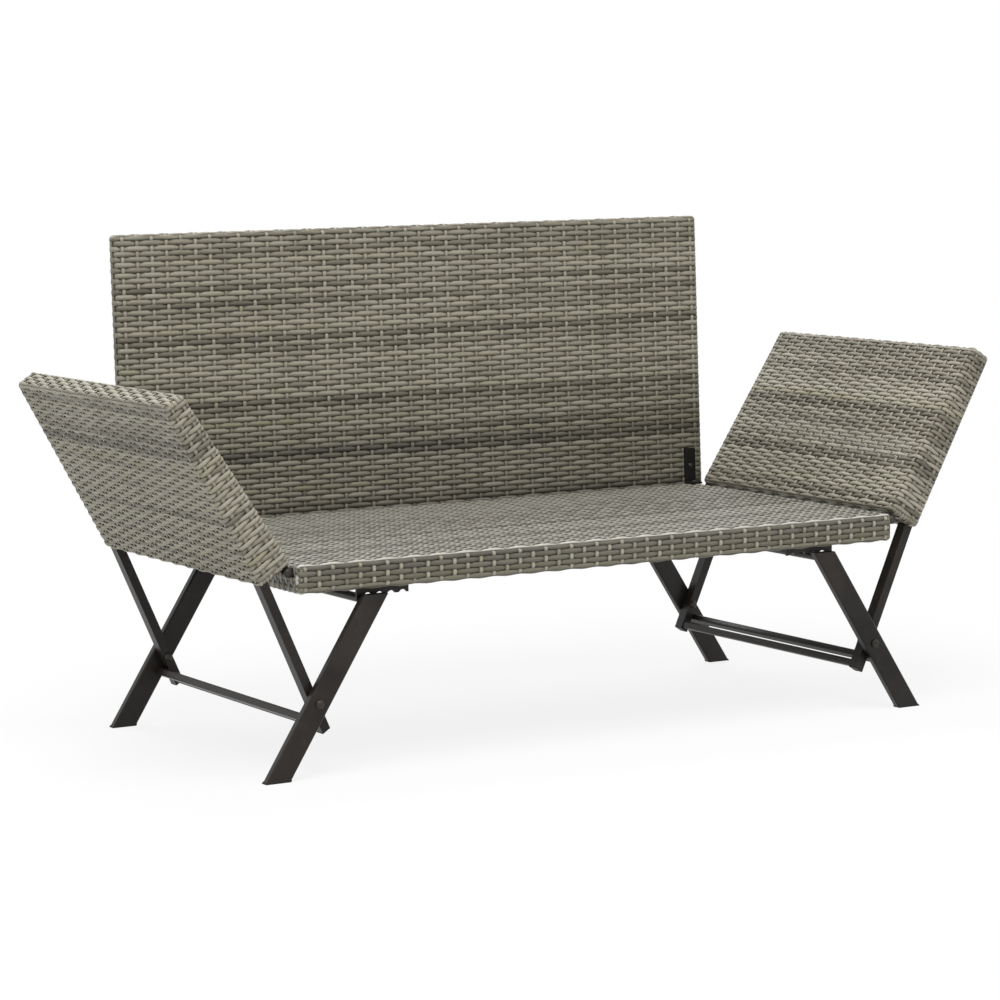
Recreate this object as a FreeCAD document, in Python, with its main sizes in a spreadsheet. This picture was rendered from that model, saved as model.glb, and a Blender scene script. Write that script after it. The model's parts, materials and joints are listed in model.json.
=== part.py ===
"""Woven patio bench with two adjustable wings on folding crossed legs.

Origin: on the floor, under the middle of the bench's outline.
+X runs along the seat to the right end as seen from the front, +Y runs from the front
edge to the back panel, and +Z is up. Lengths are millimetres and angles are degrees.

Each wing is drawn in its own frame, with its origin on the wing's pin and X along the
wing's inner face. Each leg is drawn in its own frame, with its origin on the leg's pivot
and X up along the leg. The left end is the right end turned by half a turn.
"""
import FreeCAD, Part
import Sketcher
import os

SIZES = [
    ("seat_length", 1089, "seat, end to end"),
    ("seat_depth", 574, "seat, front to rear"),
    ("seat_height", 323.5, "top of the seat over the floor"),
    ("seat_thickness", 45, "seat edge, top to bottom"),
    ("seat_tube", 30, "width of the seat's outer tubes"),
    ("seat_lip", 11, "weave turned under the seat's edge"),
    ("cross_width", 25, "width of the seat's cross tubes"),
    ("cross_rise", 15, "cross tubes' underside over the outer tubes' underside"),
    ("weave_wall", 3.5, "thickness of the woven skin"),
    ("weave_room", 0.5, "room between a woven skin and what it covers"),
    ("weave_round", 7, "rounding of a woven edge"),
    ("back_overhang", 17.5, "back panel past the seat's end"),
    ("back_height", 480, "back panel along its slope"),
    ("back_thickness", 26, "back panel, front to rear"),
    ("back_recline", 2.3, "lean of the back panel"),
    ("back_gap", 2, "room between the seat and the back panel"),
    ("back_drop", 8, "back panel's lower edge under the seat's top"),
    ("back_tube", 30, "width of the back's outer tubes"),
    ("post_width", 20, "width of a back post"),
    ("post_depth", 10, "depth of a back post inside the panel"),
    ("post_spacing", 400, "between two back posts"),
    ("post_reach", 28, "back post under the back panel's lower edge"),
    ("post_step", 1, "step of a back post under the back panel"),
    ("post_room", 0.3, "room around a back post"),
    ("bracket_inset", 12, "middle of a back bracket from the seat's end"),
    ("bracket_width", 22, "width of a back bracket"),
    ("bracket_height", 62, "upright of a back bracket"),
    ("bracket_foot", 24, "foot of a back bracket on the seat"),
    ("bracket_plate", 3, "thickness of a back bracket"),
    ("hinge_reach", 9, "wing's pin from the seat's end"),
    ("hinge_drop", 12, "wing's pin under the seat's top"),
    ("hinge_round", 7, "rounding of a hinge tab about its pin"),
    ("hinge_plate", 4, "thickness of a hinge tab"),
    ("wing_angle", 56.7, "tilt of a wing over the seat's plane"),
    ("wing_length", 322, "wing's pin to the wing's far edge"),
    ("wing_start", 10, "wing's pin to the wing's near edge"),
    ("wing_inset", 8, "wing's edge behind the seat's face"),
    ("wing_base", 63, "thickness of a wing at its near edge"),
    ("wing_tip", 36.5, "thickness of a wing at its far edge"),
    ("rail_width", 20, "wing rail, front to rear"),
    ("rail_depth", 15, "wing rail across its length"),
    ("rail_wall", 1.5, "wall of a wing rail"),
    ("rail_room", 1, "wing rail's upper end from the tip tube"),
    ("strut_slope", 9.8, "strut's fall from the wing's inner face"),
    ("strut_reach", 246, "strut past the rail's bend, along the inner face"),
    ("pivot_reach", 200, "leg's pivot past the rail's bend, along the inner face"),
    ("inner_depth", 12, "depth of the wing's inner tubes"),
    ("cross_tube", 15, "width of the wing's cross tubes"),
    ("strut_brace", 12, "side of the brace between two struts"),
    ("strut_brace_inset", 7, "strut brace from the strut's end"),
    ("cap_depth", 2, "cap on a strut's end"),
    ("cap_stem", 8, "cap inside a strut"),
    ("leg_angle", 57.7, "slope of a leg over the floor"),
    ("leg_width", 35, "leg across its length"),
    ("leg_depth", 15, "leg, front to rear"),
    ("leg_wall", 1.5, "wall of a leg"),
    ("tube_round", 3, "rounding of a tube's long edges"),
    ("leg_inset", 2, "leg's outer face behind the seat's face"),
    ("leg_head", 9, "top of a leg under the seat"),
    ("leg_brace", 12, "side of the brace between two legs"),
    ("leg_brace_drop", 25.5, "leg brace from the pivot, towards the foot"),
    ("leg_brace_shift", 9.3, "leg brace from the leg's middle line"),
    ("rod_diameter", 14, "rod between the tops of two legs"),
    ("rod_wall", 1.5, "wall of the rod"),
    ("rod_drop", 19, "middle of the rod under the seat"),
    ("plug_base", 3, "foot plug under the leg"),
    ("plug_stem", 14, "foot plug inside the leg"),
    ("plug_room", 0.3, "room around the stem of a plug or cap"),
    ("pin_diameter", 8, "pivot and hinge bolts"),
    ("pin_room", 0.05, "room around a pivot or hinge bolt"),
    ("pin_head", 14, "head of a pivot or hinge bolt"),
    ("pin_head_depth", 4, "depth of that head, and of the nut"),
    ("washer_diameter", 20, "pivot washer"),
    ("washer_depth", 1.7, "thickness of a pivot washer"),
    ("washer_room", 0.2, "room between a washer and its bolt"),
    ("side_room", 0.3, "room between pieces that turn side by side"),
    ("rack_plate", 4, "thickness of a notched rack"),
    ("rack_flange", 3, "thickness of a rack's flange"),
    ("rack_flange_width", 10, "width of a rack's flange"),
    ("rack_reach", 70, "rack inboard of the rod"),
    ("rack_hook", 11, "width of a rack's end hook"),
    ("rack_hook_drop", 8, "end hook under the tips of the notches"),
    ("rack_room", 0.6, "rod under the tips of the notches"),
    ("rack_side_room", 1, "rod beside the end hook"),
    ("notch_radius", 7.5, "radius of a notch"),
    ("notch_depth", 4, "depth of a notch"),
    ("notch_pitch", 20, "from notch to notch"),
    ("notch_count", 4, "notches in a rack"),
    ("screw_diameter", 5, "small screws"),
    ("screw_head", 8, "head of a small screw"),
    ("screw_head_depth", 2.5, "depth of the head of a small screw"),
    ("screw_inset", 12, "middle of a rack screw from the rack's outboard end"),
    ("screw_spacing", 70, "between the two screws of a rack"),
    ("screw_grip", 4, "rack screw in its tube"),
    ("bolt_grip", 8, "bracket and post screws in their tubes"),
    ("bore_spare", 1, "bore past the end of its screw"),
    ("screw_room", 0.2, "room around a small screw"),
]

DOC = FreeCAD.newDocument("WingBench")
SHEET = DOC.addObject("Spreadsheet::Sheet", "Sizes")
for line, (alias, value, note) in enumerate(SIZES, start=1):
    SHEET.set("A%d" % line, alias)
    SHEET.set("B%d" % line, str(value))
    SHEET.setAlias("B%d" % line, alias)
    SHEET.set("C%d" % line, note)
DOC.recompute()

KEPT = {}
Vector = FreeCAD.Vector
ALONG = Vector(1, 0, 0)
ACROSS = Vector(0, 1, 0)
UPRIGHT = Vector(0, 0, 1)

# A bolt head's flat top and straight rim, as parts of the head's width and depth
HEAD_FLAT = "0.55"
HEAD_RIM = "0.45"

# Expressions that several pieces share: the seat and the back panel
SKIN = "(Sizes.weave_wall + Sizes.weave_room)"
SEAT_BOTTOM = "(Sizes.seat_height - Sizes.seat_thickness)"
SEAT_END = "(Sizes.seat_length / 2)"
SEAT_REAR = "(Sizes.seat_depth / 2)"
FRAME_LENGTH = "(Sizes.seat_length - 2 * %s)" % SKIN
FRAME_DEPTH = "(Sizes.seat_depth - 2 * %s)" % SKIN
FRAME_HEIGHT = "(Sizes.seat_thickness - 2 * %s)" % SKIN
BACK_LENGTH = "(Sizes.seat_length + 2 * Sizes.back_overhang)"
BACK_FRONT = "(%s + Sizes.back_gap)" % SEAT_REAR
BACK_BOTTOM = "(Sizes.seat_height - Sizes.back_drop)"
BACK_MIDDLE = "(Sizes.back_thickness / 2)"
BACK_FRAME_DEPTH = "(Sizes.back_thickness - 2 * %s)" % SKIN
BRACKET_X = "(%s - Sizes.bracket_inset)" % SEAT_END
BRACKET_Y = "(%s + Sizes.back_drop * tan(Sizes.back_recline))" % BACK_FRONT
BRACKET_BOLT = "(Sizes.bracket_height / 2)"
BRACKET_SCREW_Y = "(%s - (Sizes.bracket_foot + Sizes.bracket_plate) / 2)" % BRACKET_Y
BACK_BOLT = "(Sizes.back_drop / cos(Sizes.back_recline) + %s)" % BRACKET_BOLT
POST_BOLT = "(Sizes.post_reach / 2)"
SCREW_BORE = "(Sizes.screw_diameter / 2 + Sizes.screw_room)"
PIN_BORE = "(Sizes.pin_diameter / 2 + Sizes.pin_room)"

# The rows of legs, struts and hinge tabs, from the seat's face inwards
LEG_OUTER = "(%s - Sizes.leg_inset)" % SEAT_REAR
LEG_INNER = "(%s - Sizes.leg_depth)" % LEG_OUTER
LEG_MIDDLE = "(%s - Sizes.leg_depth / 2)" % LEG_OUTER
RAIL_OUTER = "(%s - Sizes.washer_depth - Sizes.side_room)" % LEG_INNER
RAIL_INNER = "(%s - Sizes.rail_width)" % RAIL_OUTER
RAIL_MIDDLE = "(%s - Sizes.rail_width / 2)" % RAIL_OUTER
TAB_INNER = "(%s - Sizes.hinge_plate)" % RAIL_OUTER
HINGE_INNER = "(%s + Sizes.side_room)" % RAIL_OUTER
HINGE_OUTER = "(%s + Sizes.hinge_plate)" % HINGE_INNER
RACK_INNER = "(%s - Sizes.rack_plate)" % RAIL_OUTER

# The wing in its own frame
WING_WIDTH = "(Sizes.seat_depth - 2 * Sizes.wing_inset)"
WING_SLOPE = "((Sizes.wing_base - Sizes.wing_tip) / (Sizes.wing_length - Sizes.wing_start))"
SLOPE_STRETCH = "sqrt(1 + %s ^ 2)" % WING_SLOPE
WING_FLOOR = "(Sizes.hinge_drop - Sizes.wing_base)"
INNER_FACE = "(Sizes.hinge_drop - %s)" % SKIN
NEAR_EDGE = "(Sizes.wing_start + %s)" % SKIN
NEAR_INSIDE = "(%s + Sizes.cross_tube)" % NEAR_EDGE
FAR_EDGE = "(Sizes.wing_length - %s)" % SKIN
FAR_INSIDE = "(%s - Sizes.cross_tube)" % FAR_EDGE
BEND_Z = "(%s + (%s + Sizes.rail_depth / 2) * %s)" % (WING_FLOOR, SKIN, SLOPE_STRETCH)
PIVOT_FALL = "(Sizes.pivot_reach * tan(Sizes.strut_slope))"

# The wing's pin, the leg's pivot and the rod over the floor, at the right end
PIN_X = "(%s + Sizes.hinge_reach)" % SEAT_END
PIN_Z = "(Sizes.seat_height - Sizes.hinge_drop)"
PIVOT_ALONG = "(Sizes.wing_start - Sizes.pivot_reach)"
PIVOT_ACROSS = "(%s - %s)" % (BEND_Z, PIVOT_FALL)
PIVOT_X = "(%s + %s * cos(Sizes.wing_angle) - %s * sin(Sizes.wing_angle))" % (
    PIN_X, PIVOT_ALONG, PIVOT_ACROSS)
PIVOT_Z = "(%s + %s * sin(Sizes.wing_angle) + %s * cos(Sizes.wing_angle))" % (
    PIN_Z, PIVOT_ALONG, PIVOT_ACROSS)
ROD_Z = "(%s - Sizes.rod_drop)" % SEAT_BOTTOM
ROD_X = "(%s - (%s - %s) / tan(Sizes.leg_angle))" % (PIVOT_X, ROD_Z, PIVOT_Z)

HOOK_IN = "(Sizes.rod_diameter / 2 + Sizes.rack_side_room)"
HOOK_OUT = "(%s + Sizes.rack_hook)" % HOOK_IN
RACK_SCREWS = ("(%s - Sizes.screw_inset)" % HOOK_OUT,
               "(%s - Sizes.screw_inset - Sizes.screw_spacing)" % HOOK_OUT)

# The middle of the bench's outline behind the middle of the seat
BACK_REAR = ("(%s + (Sizes.back_thickness - Sizes.weave_round) * cos(Sizes.back_recline)"
             " + (Sizes.back_height - Sizes.weave_round) * sin(Sizes.back_recline)"
             " + Sizes.weave_round)") % BACK_FRONT
PIN_FACE = "(%s + Sizes.side_room + Sizes.pin_head_depth)" % LEG_OUTER
BOX_MIDDLE = "((%s - %s) / 2)" % (BACK_REAR, PIN_FACE)


def number(text):
    """The present value of an expression on the sheet."""
    return float(SHEET.evalExpression(text))


def at(x, y, z, axis=UPRIGHT, angle=0):
    """A place given by three expressions or numbers, turned by an angle about an axis."""
    spot = [number(value) if isinstance(value, str) else value for value in (x, y, z)]
    return FreeCAD.Placement(Vector(*spot), FreeCAD.Rotation(axis, angle))


def keep(label, shape_object, placement=FreeCAD.Placement()):
    """Name a finished sub-part and put its place, measured from the seat, over the origin."""
    shape_object.Label = label
    shape_object.Placement = at(0, "-" + BOX_MIDDLE, 0).multiply(placement)
    KEPT[label] = shape_object


def on_side(side, placement):
    """A place at the right end, or its half turn about the middle for the left end."""
    if side == "right":
        return placement
    return at(0, 0, 0, UPRIGHT, 180).multiply(placement)


def rows(side):
    """The front and rear rows of one end, with the sign of their Y before the half turn."""
    turned = 1 if side == "right" else -1
    return (("front", -turned), ("rear", turned))


def signed(sign, text):
    """An expression with a sign in front."""
    return text if sign > 0 else "-" + text


def span(sign, inner, outer):
    """The lower and upper end of a span from the middle outwards, on either side of it."""
    if sign > 0:
        return inner, outer
    return "-" + outer, "-" + inner


def wing_place():
    return at(PIN_X, 0, PIN_Z, ACROSS, -number("Sizes.wing_angle"))


def leg_place():
    return at(PIVOT_X, 0, PIVOT_Z, ACROSS, number("Sizes.leg_angle") - 180)


def back_place():
    """The back panel's frame: origin at the middle of its lower front edge, Z up its slope."""
    return at(0, BACK_FRONT, BACK_BOTTOM, ALONG, -number("Sizes.back_recline"))


def leaned(y_text, z_text):
    """A point of the back panel's own Y and Z, seen from an upright frame with its origin."""
    lean = "Sizes.back_recline"
    return ("((%s) * cos(%s) + (%s) * sin(%s))" % (y_text, lean, z_text, lean),
            "((%s) * cos(%s) - (%s) * sin(%s))" % (z_text, lean, y_text, lean))


def new_body(name):
    return DOC.addObject("PartDesign::Body", name)


def origin_of(body, role):
    """One of the body's own origin planes or axes."""
    for feature in body.Origin.OriginFeatures:
        if feature.Role == role:
            return feature
    raise ValueError(role)


def new_sketch(body, name, role, offset=None):
    """A sketch on one of the body's own planes, lifted off it by an expression."""
    sketch = body.newObject("Sketcher::SketchObject", name)
    sketch.AttachmentSupport = [(origin_of(body, role), "")]
    sketch.MapMode = "FlatFace"
    if offset:
        sketch.setExpression("AttachmentOffset.Base.z", offset)
    return sketch


def pin_point(sketch, geometry, point, name, x_text, y_text):
    """Tie one point of a sketch to two expressions, measured from the origin."""
    for kind, axis_name, text in (("DistanceX", "x", x_text), ("DistanceY", "y", y_text)):
        constraint = Sketcher.Constraint(kind, -1, 1, geometry, point, number(text))
        index = sketch.addConstraint(constraint)
        sketch.renameConstraint(index, name + axis_name)
        sketch.setExpression("Constraints." + name + axis_name, text)


def outline(sketch, corners, name="p"):
    """A closed outline through corners given as pairs of expressions."""
    spots = [Vector(number(x), number(y), 0) for x, y in corners]
    first = sketch.GeometryCount
    count = len(spots)
    for index in range(count):
        sketch.addGeometry(Part.LineSegment(spots[index], spots[(index + 1) % count]), False)
    for index in range(count):
        after = first + (index + 1) % count
        sketch.addConstraint(Sketcher.Constraint("Coincident", first + index, 2, after, 1))
    for index, (x_text, y_text) in enumerate(corners):
        pin_point(sketch, first + index, 1, "%s%d" % (name, index), x_text, y_text)


def rectangle(sketch, low_x, low_y, high_x, high_y, name="p"):
    outline(sketch, [(low_x, low_y), (high_x, low_y), (high_x, high_y), (low_x, high_y)], name)


def centred(sketch, width, height, name="p"):
    """A rectangle about the sketch's origin."""
    rectangle(sketch, "-(%s) / 2" % width, "-(%s) / 2" % height,
              "(%s) / 2" % width, "(%s) / 2" % height, name)


def around(sketch, x_text, y_text, half_width, half_height, name="p"):
    """A rectangle about a point."""
    rectangle(sketch, "%s - %s" % (x_text, half_width), "%s - %s" % (y_text, half_height),
              "%s + %s" % (x_text, half_width), "%s + %s" % (y_text, half_height), name)


def circle(sketch, x_text, y_text, radius_text, name="c"):
    """A circle whose middle and radius are expressions."""
    middle = Vector(number(x_text), number(y_text), 0)
    radius = number(radius_text)
    geometry = sketch.addGeometry(Part.Circle(middle, UPRIGHT, radius), False)
    pin_point(sketch, geometry, 3, name, x_text, y_text)
    index = sketch.addConstraint(Sketcher.Constraint("Radius", geometry, radius))
    sketch.renameConstraint(index, name + "r")
    sketch.setExpression("Constraints." + name + "r", radius_text)


def pad(body, sketch, length, symmetric=False, turned=False):
    feature = body.newObject("PartDesign::Pad", sketch.Name + "_pad")
    feature.Profile = sketch
    feature.setExpression("Length", length)
    feature.Midplane = symmetric
    feature.Reversed = turned
    DOC.recompute()
    return feature


def pocket(body, sketch, length=None, symmetric=False, turned=False):
    """Cut a sketch out of the body, and make sure that it cuts something."""
    before = body.Shape.Volume
    feature = body.newObject("PartDesign::Pocket", sketch.Name + "_pocket")
    feature.Profile = sketch
    if length is None:
        feature.Type = "ThroughAll"
    else:
        feature.setExpression("Length", length)
    feature.Midplane = symmetric
    feature.Reversed = turned
    DOC.recompute()
    if body.Shape.Volume >= before:
        raise RuntimeError("%s cuts nothing" % feature.Name)
    return feature


def row_of(body, feature, pitch_text, count_text, turned=False):
    """Repeat a feature along the body's X axis."""
    pattern = body.newObject("PartDesign::LinearPattern", feature.Name + "_row")
    pattern.Originals = [feature]
    pattern.Direction = (origin_of(body, "X_Axis"), [""])
    pattern.setExpression("Occurrences", count_text)
    pattern.setExpression("Length", "(%s) * (%s - 1)" % (pitch_text, count_text))
    pattern.Reversed = turned
    body.Tip = pattern
    DOC.recompute()


def round_edges(body, radius, direction=None):
    """Round the edges of the body's last feature, all of them or those along a direction."""
    base = body.Tip
    names = []
    for index, edge in enumerate(base.Shape.Edges, start=1):
        if direction is None or abs(edge.Curve.Direction.dot(direction)) > 0.999:
            names.append("Edge%d" % index)
    feature = body.newObject("PartDesign::Fillet", base.Name + "_round")
    feature.Base = (base, names)
    feature.setExpression("Radius", radius)
    DOC.recompute()


def square_tube(name, side_text, wall, length):
    """A square tube centred on the body's Y axis, rounded outside."""
    body = new_body(name)
    sketch = new_sketch(body, name + "_section", "XZ_Plane")
    centred(sketch, side_text, side_text)
    pad(body, sketch, length, symmetric=True)
    round_edges(body, "Sizes.tube_round", ACROSS)
    bore = new_sketch(body, name + "_bore", "XZ_Plane")
    clear = "%s - 2 * %s" % (side_text, wall)
    centred(bore, clear, clear)
    pocket(body, bore, symmetric=True)
    return body


def fastener(name, shank, grip, head, head_depth, nut=False):
    """A turned bolt: its head lies under the origin, its shank runs up Z to its end or nut."""
    body = new_body(name)
    sketch = new_sketch(body, name + "_profile", "XZ_Plane")
    head_half = "(%s / 2)" % head
    shank_half = "(%s / 2)" % shank
    corners = [("0", "-" + head_depth), ("%s * %s" % (head_half, HEAD_FLAT), "-" + head_depth),
               (head_half, "-%s * %s" % (head_depth, HEAD_RIM)), (head_half, "0"),
               (shank_half, "0"), (shank_half, grip)]
    if nut:
        top = "(%s + %s)" % (grip, head_depth)
        corners += [(head_half, grip), (head_half, "%s + %s * %s" % (grip, head_depth, HEAD_RIM)),
                    ("%s * %s" % (head_half, HEAD_FLAT), top), ("0", top)]
    else:
        corners += [("0", grip)]
    outline(sketch, corners)
    turn = body.newObject("PartDesign::Revolution", name + "_turn")
    turn.Profile = sketch
    turn.ReferenceAxis = (origin_of(body, "Z_Axis"), [""])
    turn.Angle = 360
    DOC.recompute()
    return body


def small_screw(name, grip):
    return fastener(name, "Sizes.screw_diameter", grip, "Sizes.screw_head", "Sizes.screw_head_depth")


def cross_bolt(name, sign, outer, inner, side, x_text, z_text):
    """A bolt along Y with its head outside the outer face and its nut inside the inner one."""
    bolt = fastener(name, "Sizes.pin_diameter", "(%s - %s)" % (outer, inner), "Sizes.pin_head",
                    "Sizes.pin_head_depth", nut=True)
    bolt.Placement = on_side(side, at(x_text, signed(sign, outer), z_text, ALONG, sign * 90))
    return bolt


def box(name, low, high):
    """A Part::Box between two corners given as expressions."""
    solid = DOC.addObject("Part::Box", name)
    for prop, axis_name, index in (("Length", "x", 0), ("Width", "y", 1), ("Height", "z", 2)):
        solid.setExpression(prop, "(%s) - (%s)" % (high[index], low[index]))
        solid.setExpression("Placement.Base." + axis_name, low[index])
    return solid


def disc(name, radius, low_y, high_y):
    """A Part::Cylinder along Y between two expressions."""
    solid = DOC.addObject("Part::Cylinder", name)
    solid.setExpression("Radius", radius)
    solid.setExpression("Height", "(%s) - (%s)" % (high_y, low_y))
    solid.Placement = at(0, 0, 0, ALONG, -90)
    solid.setExpression("Placement.Base.y", low_y)
    return solid


def fuse(name, solids):
    joined = DOC.addObject("Part::MultiFuse", name)
    joined.Shapes = solids
    joined.Refine = True
    return joined


def cut(name, base, tool):
    result = DOC.addObject("Part::Cut", name)
    result.Base = base
    result.Tool = tool
    return result


def group(label, solids):
    """Keep identical pieces as one group of separate solids."""
    compound = DOC.addObject("Part::Compound", "Group_" + label)
    compound.Links = solids
    keep(label, compound)


def woven_box(name, length, depth, height):
    """A rounded woven skin around a box-shaped frame, from the box's lower face up."""
    body = new_body(name)
    sketch = new_sketch(body, name + "_outside", "XY_Plane")
    centred(sketch, length, depth)
    pad(body, sketch, height)
    round_edges(body, "Sizes.weave_round")
    hollow = new_sketch(body, name + "_hollow", "XY_Plane", "Sizes.weave_wall")
    centred(hollow, "%s - 2 * Sizes.weave_wall" % length, "%s - 2 * Sizes.weave_wall" % depth)
    pocket(body, hollow, "%s - 2 * Sizes.weave_wall" % height, turned=True)
    return body


def bracket_bores(body, name, top_text):
    """Bores down from a level of the seat for the screws of the two back brackets."""
    sketch = new_sketch(body, name, "XY_Plane", top_text)
    for mark, sign in (("l", -1), ("r", 1)):
        circle(sketch, signed(sign, BRACKET_X), BRACKET_SCREW_Y, SCREW_BORE, mark)
    return sketch


def post_bores(body, name, height_text, rear_text):
    """Bores forward from a rear face for the screws of the three back posts."""
    sketch = new_sketch(body, name, "XZ_Plane", "-" + rear_text)
    for index, step in enumerate((-1, 0, 1)):
        circle(sketch, "%d * Sizes.post_spacing" % step, height_text, SCREW_BORE, "c%d" % index)
    return sketch


def make_seat_frame():
    """Outer tubes with raised cross tubes between them, welded, and bored for their screws."""
    body = new_body("SeatFrame")
    outside = new_sketch(body, "FrameOutside", "XY_Plane")
    centred(outside, FRAME_LENGTH, FRAME_DEPTH)
    pad(body, outside, FRAME_HEIGHT)
    round_edges(body, "Sizes.tube_round", UPRIGHT)
    inner_length = "(%s - 2 * Sizes.seat_tube)" % FRAME_LENGTH
    inner_depth = "(%s - 2 * Sizes.seat_tube)" % FRAME_DEPTH
    underside = new_sketch(body, "FrameUnderside", "XY_Plane")
    centred(underside, inner_length, inner_depth)
    pocket(body, underside, "Sizes.cross_rise", turned=True)
    bay = "((%s - 3 * Sizes.cross_width) / 4)" % inner_length
    window = new_sketch(body, "FrameWindow", "XY_Plane")
    rectangle(window, "-%s / 2" % inner_length, "-%s / 2" % inner_depth,
              "-%s / 2 + %s" % (inner_length, bay), "%s / 2" % inner_depth)
    row_of(body, pocket(body, window, turned=True), "%s + Sizes.cross_width" % bay, "4")
    rack_bores = new_sketch(body, "FrameRackBores", "XY_Plane")
    for end, end_sign in (("l", -1), ("r", 1)):
        for edge, edge_sign in (("f", -1), ("b", 1)):
            for index, along in enumerate(RACK_SCREWS):
                circle(rack_bores, signed(end_sign, "(%s + %s)" % (ROD_X, along)),
                       signed(edge_sign, "(%s - Sizes.rack_flange_width / 2)" % RACK_INNER),
                       SCREW_BORE, "%s%s%d" % (end, edge, index))
    pocket(body, rack_bores, "Sizes.screw_grip + Sizes.bore_spare", turned=True)
    upper = bracket_bores(body, "FrameBracketBores", FRAME_HEIGHT)
    pocket(body, upper, "Sizes.bolt_grip + Sizes.bore_spare")
    height = "(%s - %s - %s - %s)" % (BACK_BOTTOM, POST_BOLT, SEAT_BOTTOM, SKIN)
    rear = post_bores(body, "FramePostBores", height, "%s / 2" % FRAME_DEPTH)
    pocket(body, rear, "Sizes.bolt_grip + Sizes.bore_spare", turned=True)
    keep("seat_frame", body, at(0, 0, "%s + %s" % (SEAT_BOTTOM, SKIN)))


def make_seat_weave():
    """The woven skin of the seat, turned under its edge and open for brackets and screws."""
    body = woven_box("SeatWeave", "Sizes.seat_length", "Sizes.seat_depth", "Sizes.seat_thickness")
    opening = new_sketch(body, "SeatWeaveOpening", "XY_Plane")
    centred(opening, "Sizes.seat_length - 2 * Sizes.seat_lip", "Sizes.seat_depth - 2 * Sizes.seat_lip")
    pocket(body, opening, "Sizes.weave_wall + Sizes.weave_room", turned=True)
    slots = new_sketch(body, "SeatWeaveSlots", "YZ_Plane")
    for mark, sign in (("f", -1), ("r", 1)):
        around(slots, signed(sign, "(%s - Sizes.hinge_plate / 2)" % HINGE_OUTER),
               "(Sizes.seat_thickness - Sizes.hinge_drop)",
               "(Sizes.hinge_plate / 2 + Sizes.weave_room)",
               "(Sizes.hinge_round + Sizes.weave_room)", mark)
    pocket(body, slots, symmetric=True)
    upper = bracket_bores(body, "SeatWeaveBracketBores", "Sizes.seat_thickness")
    pocket(body, upper, SKIN)
    height = "(%s - %s - %s)" % (BACK_BOTTOM, POST_BOLT, SEAT_BOTTOM)
    rear = post_bores(body, "SeatWeavePostBores", height, SEAT_REAR)
    pocket(body, rear, SKIN, turned=True)
    keep("seat_weave", body, at(0, 0, SEAT_BOTTOM))


def post_slots(sketch):
    """Slots in the back panel's lower edge, through which its posts stand."""
    half_width = "(Sizes.post_width / 2 + Sizes.post_room)"
    half_depth = "(Sizes.post_depth / 2 + Sizes.post_room)"
    middle = "(%s + Sizes.post_depth / 2 - %s)" % (SKIN, BACK_MIDDLE)
    for index, step in enumerate((-1, 0, 1)):
        around(sketch, "%d * Sizes.post_spacing" % step, middle, half_width, half_depth, "s%d" % index)


def back_bores(body, name, front_text):
    """Bores from a front face of the back panel for the upper screws of its brackets."""
    sketch = new_sketch(body, name, "XZ_Plane", front_text)
    for mark, sign in (("l", -1), ("r", 1)):
        circle(sketch, signed(sign, BRACKET_X), BACK_BOLT, SCREW_BORE, mark)
    return sketch


def make_back_panel():
    """The back panel: an outer frame of tubes and the woven skin around it."""
    place = back_place().multiply(at(0, BACK_MIDDLE, 0))
    skin = woven_box("BackWeave", BACK_LENGTH, "Sizes.back_thickness", "Sizes.back_height")
    slots = new_sketch(skin, "BackWeaveSlots", "XY_Plane")
    post_slots(slots)
    pocket(skin, slots, "Sizes.weave_wall + Sizes.weave_room", turned=True)
    pocket(skin, back_bores(skin, "BackWeaveBores", BACK_MIDDLE), SKIN)
    keep("back_weave", skin, place)

    frame = new_body("BackFrame")
    sketch = new_sketch(frame, "BackFrameOutline", "XZ_Plane")
    half = "(%s / 2 - %s)" % (BACK_LENGTH, SKIN)
    high = "(Sizes.back_height - %s)" % SKIN
    rectangle(sketch, "-" + half, SKIN, half, high, "outer")
    rectangle(sketch, "-%s + Sizes.back_tube" % half, "%s + Sizes.back_tube" % SKIN,
              "%s - Sizes.back_tube" % half, "%s - Sizes.back_tube" % high, "inner")
    pad(frame, sketch, BACK_FRAME_DEPTH, symmetric=True)
    slots = new_sketch(frame, "BackFrameSlots", "XY_Plane")
    post_slots(slots)
    pocket(frame, slots, "%s + Sizes.back_tube + Sizes.bore_spare" % SKIN, turned=True)
    bores = back_bores(frame, "BackFrameBores", "%s / 2" % BACK_FRAME_DEPTH)
    pocket(frame, bores, "Sizes.bolt_grip + Sizes.bore_spare")
    keep("back_frame", frame, place)


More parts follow.
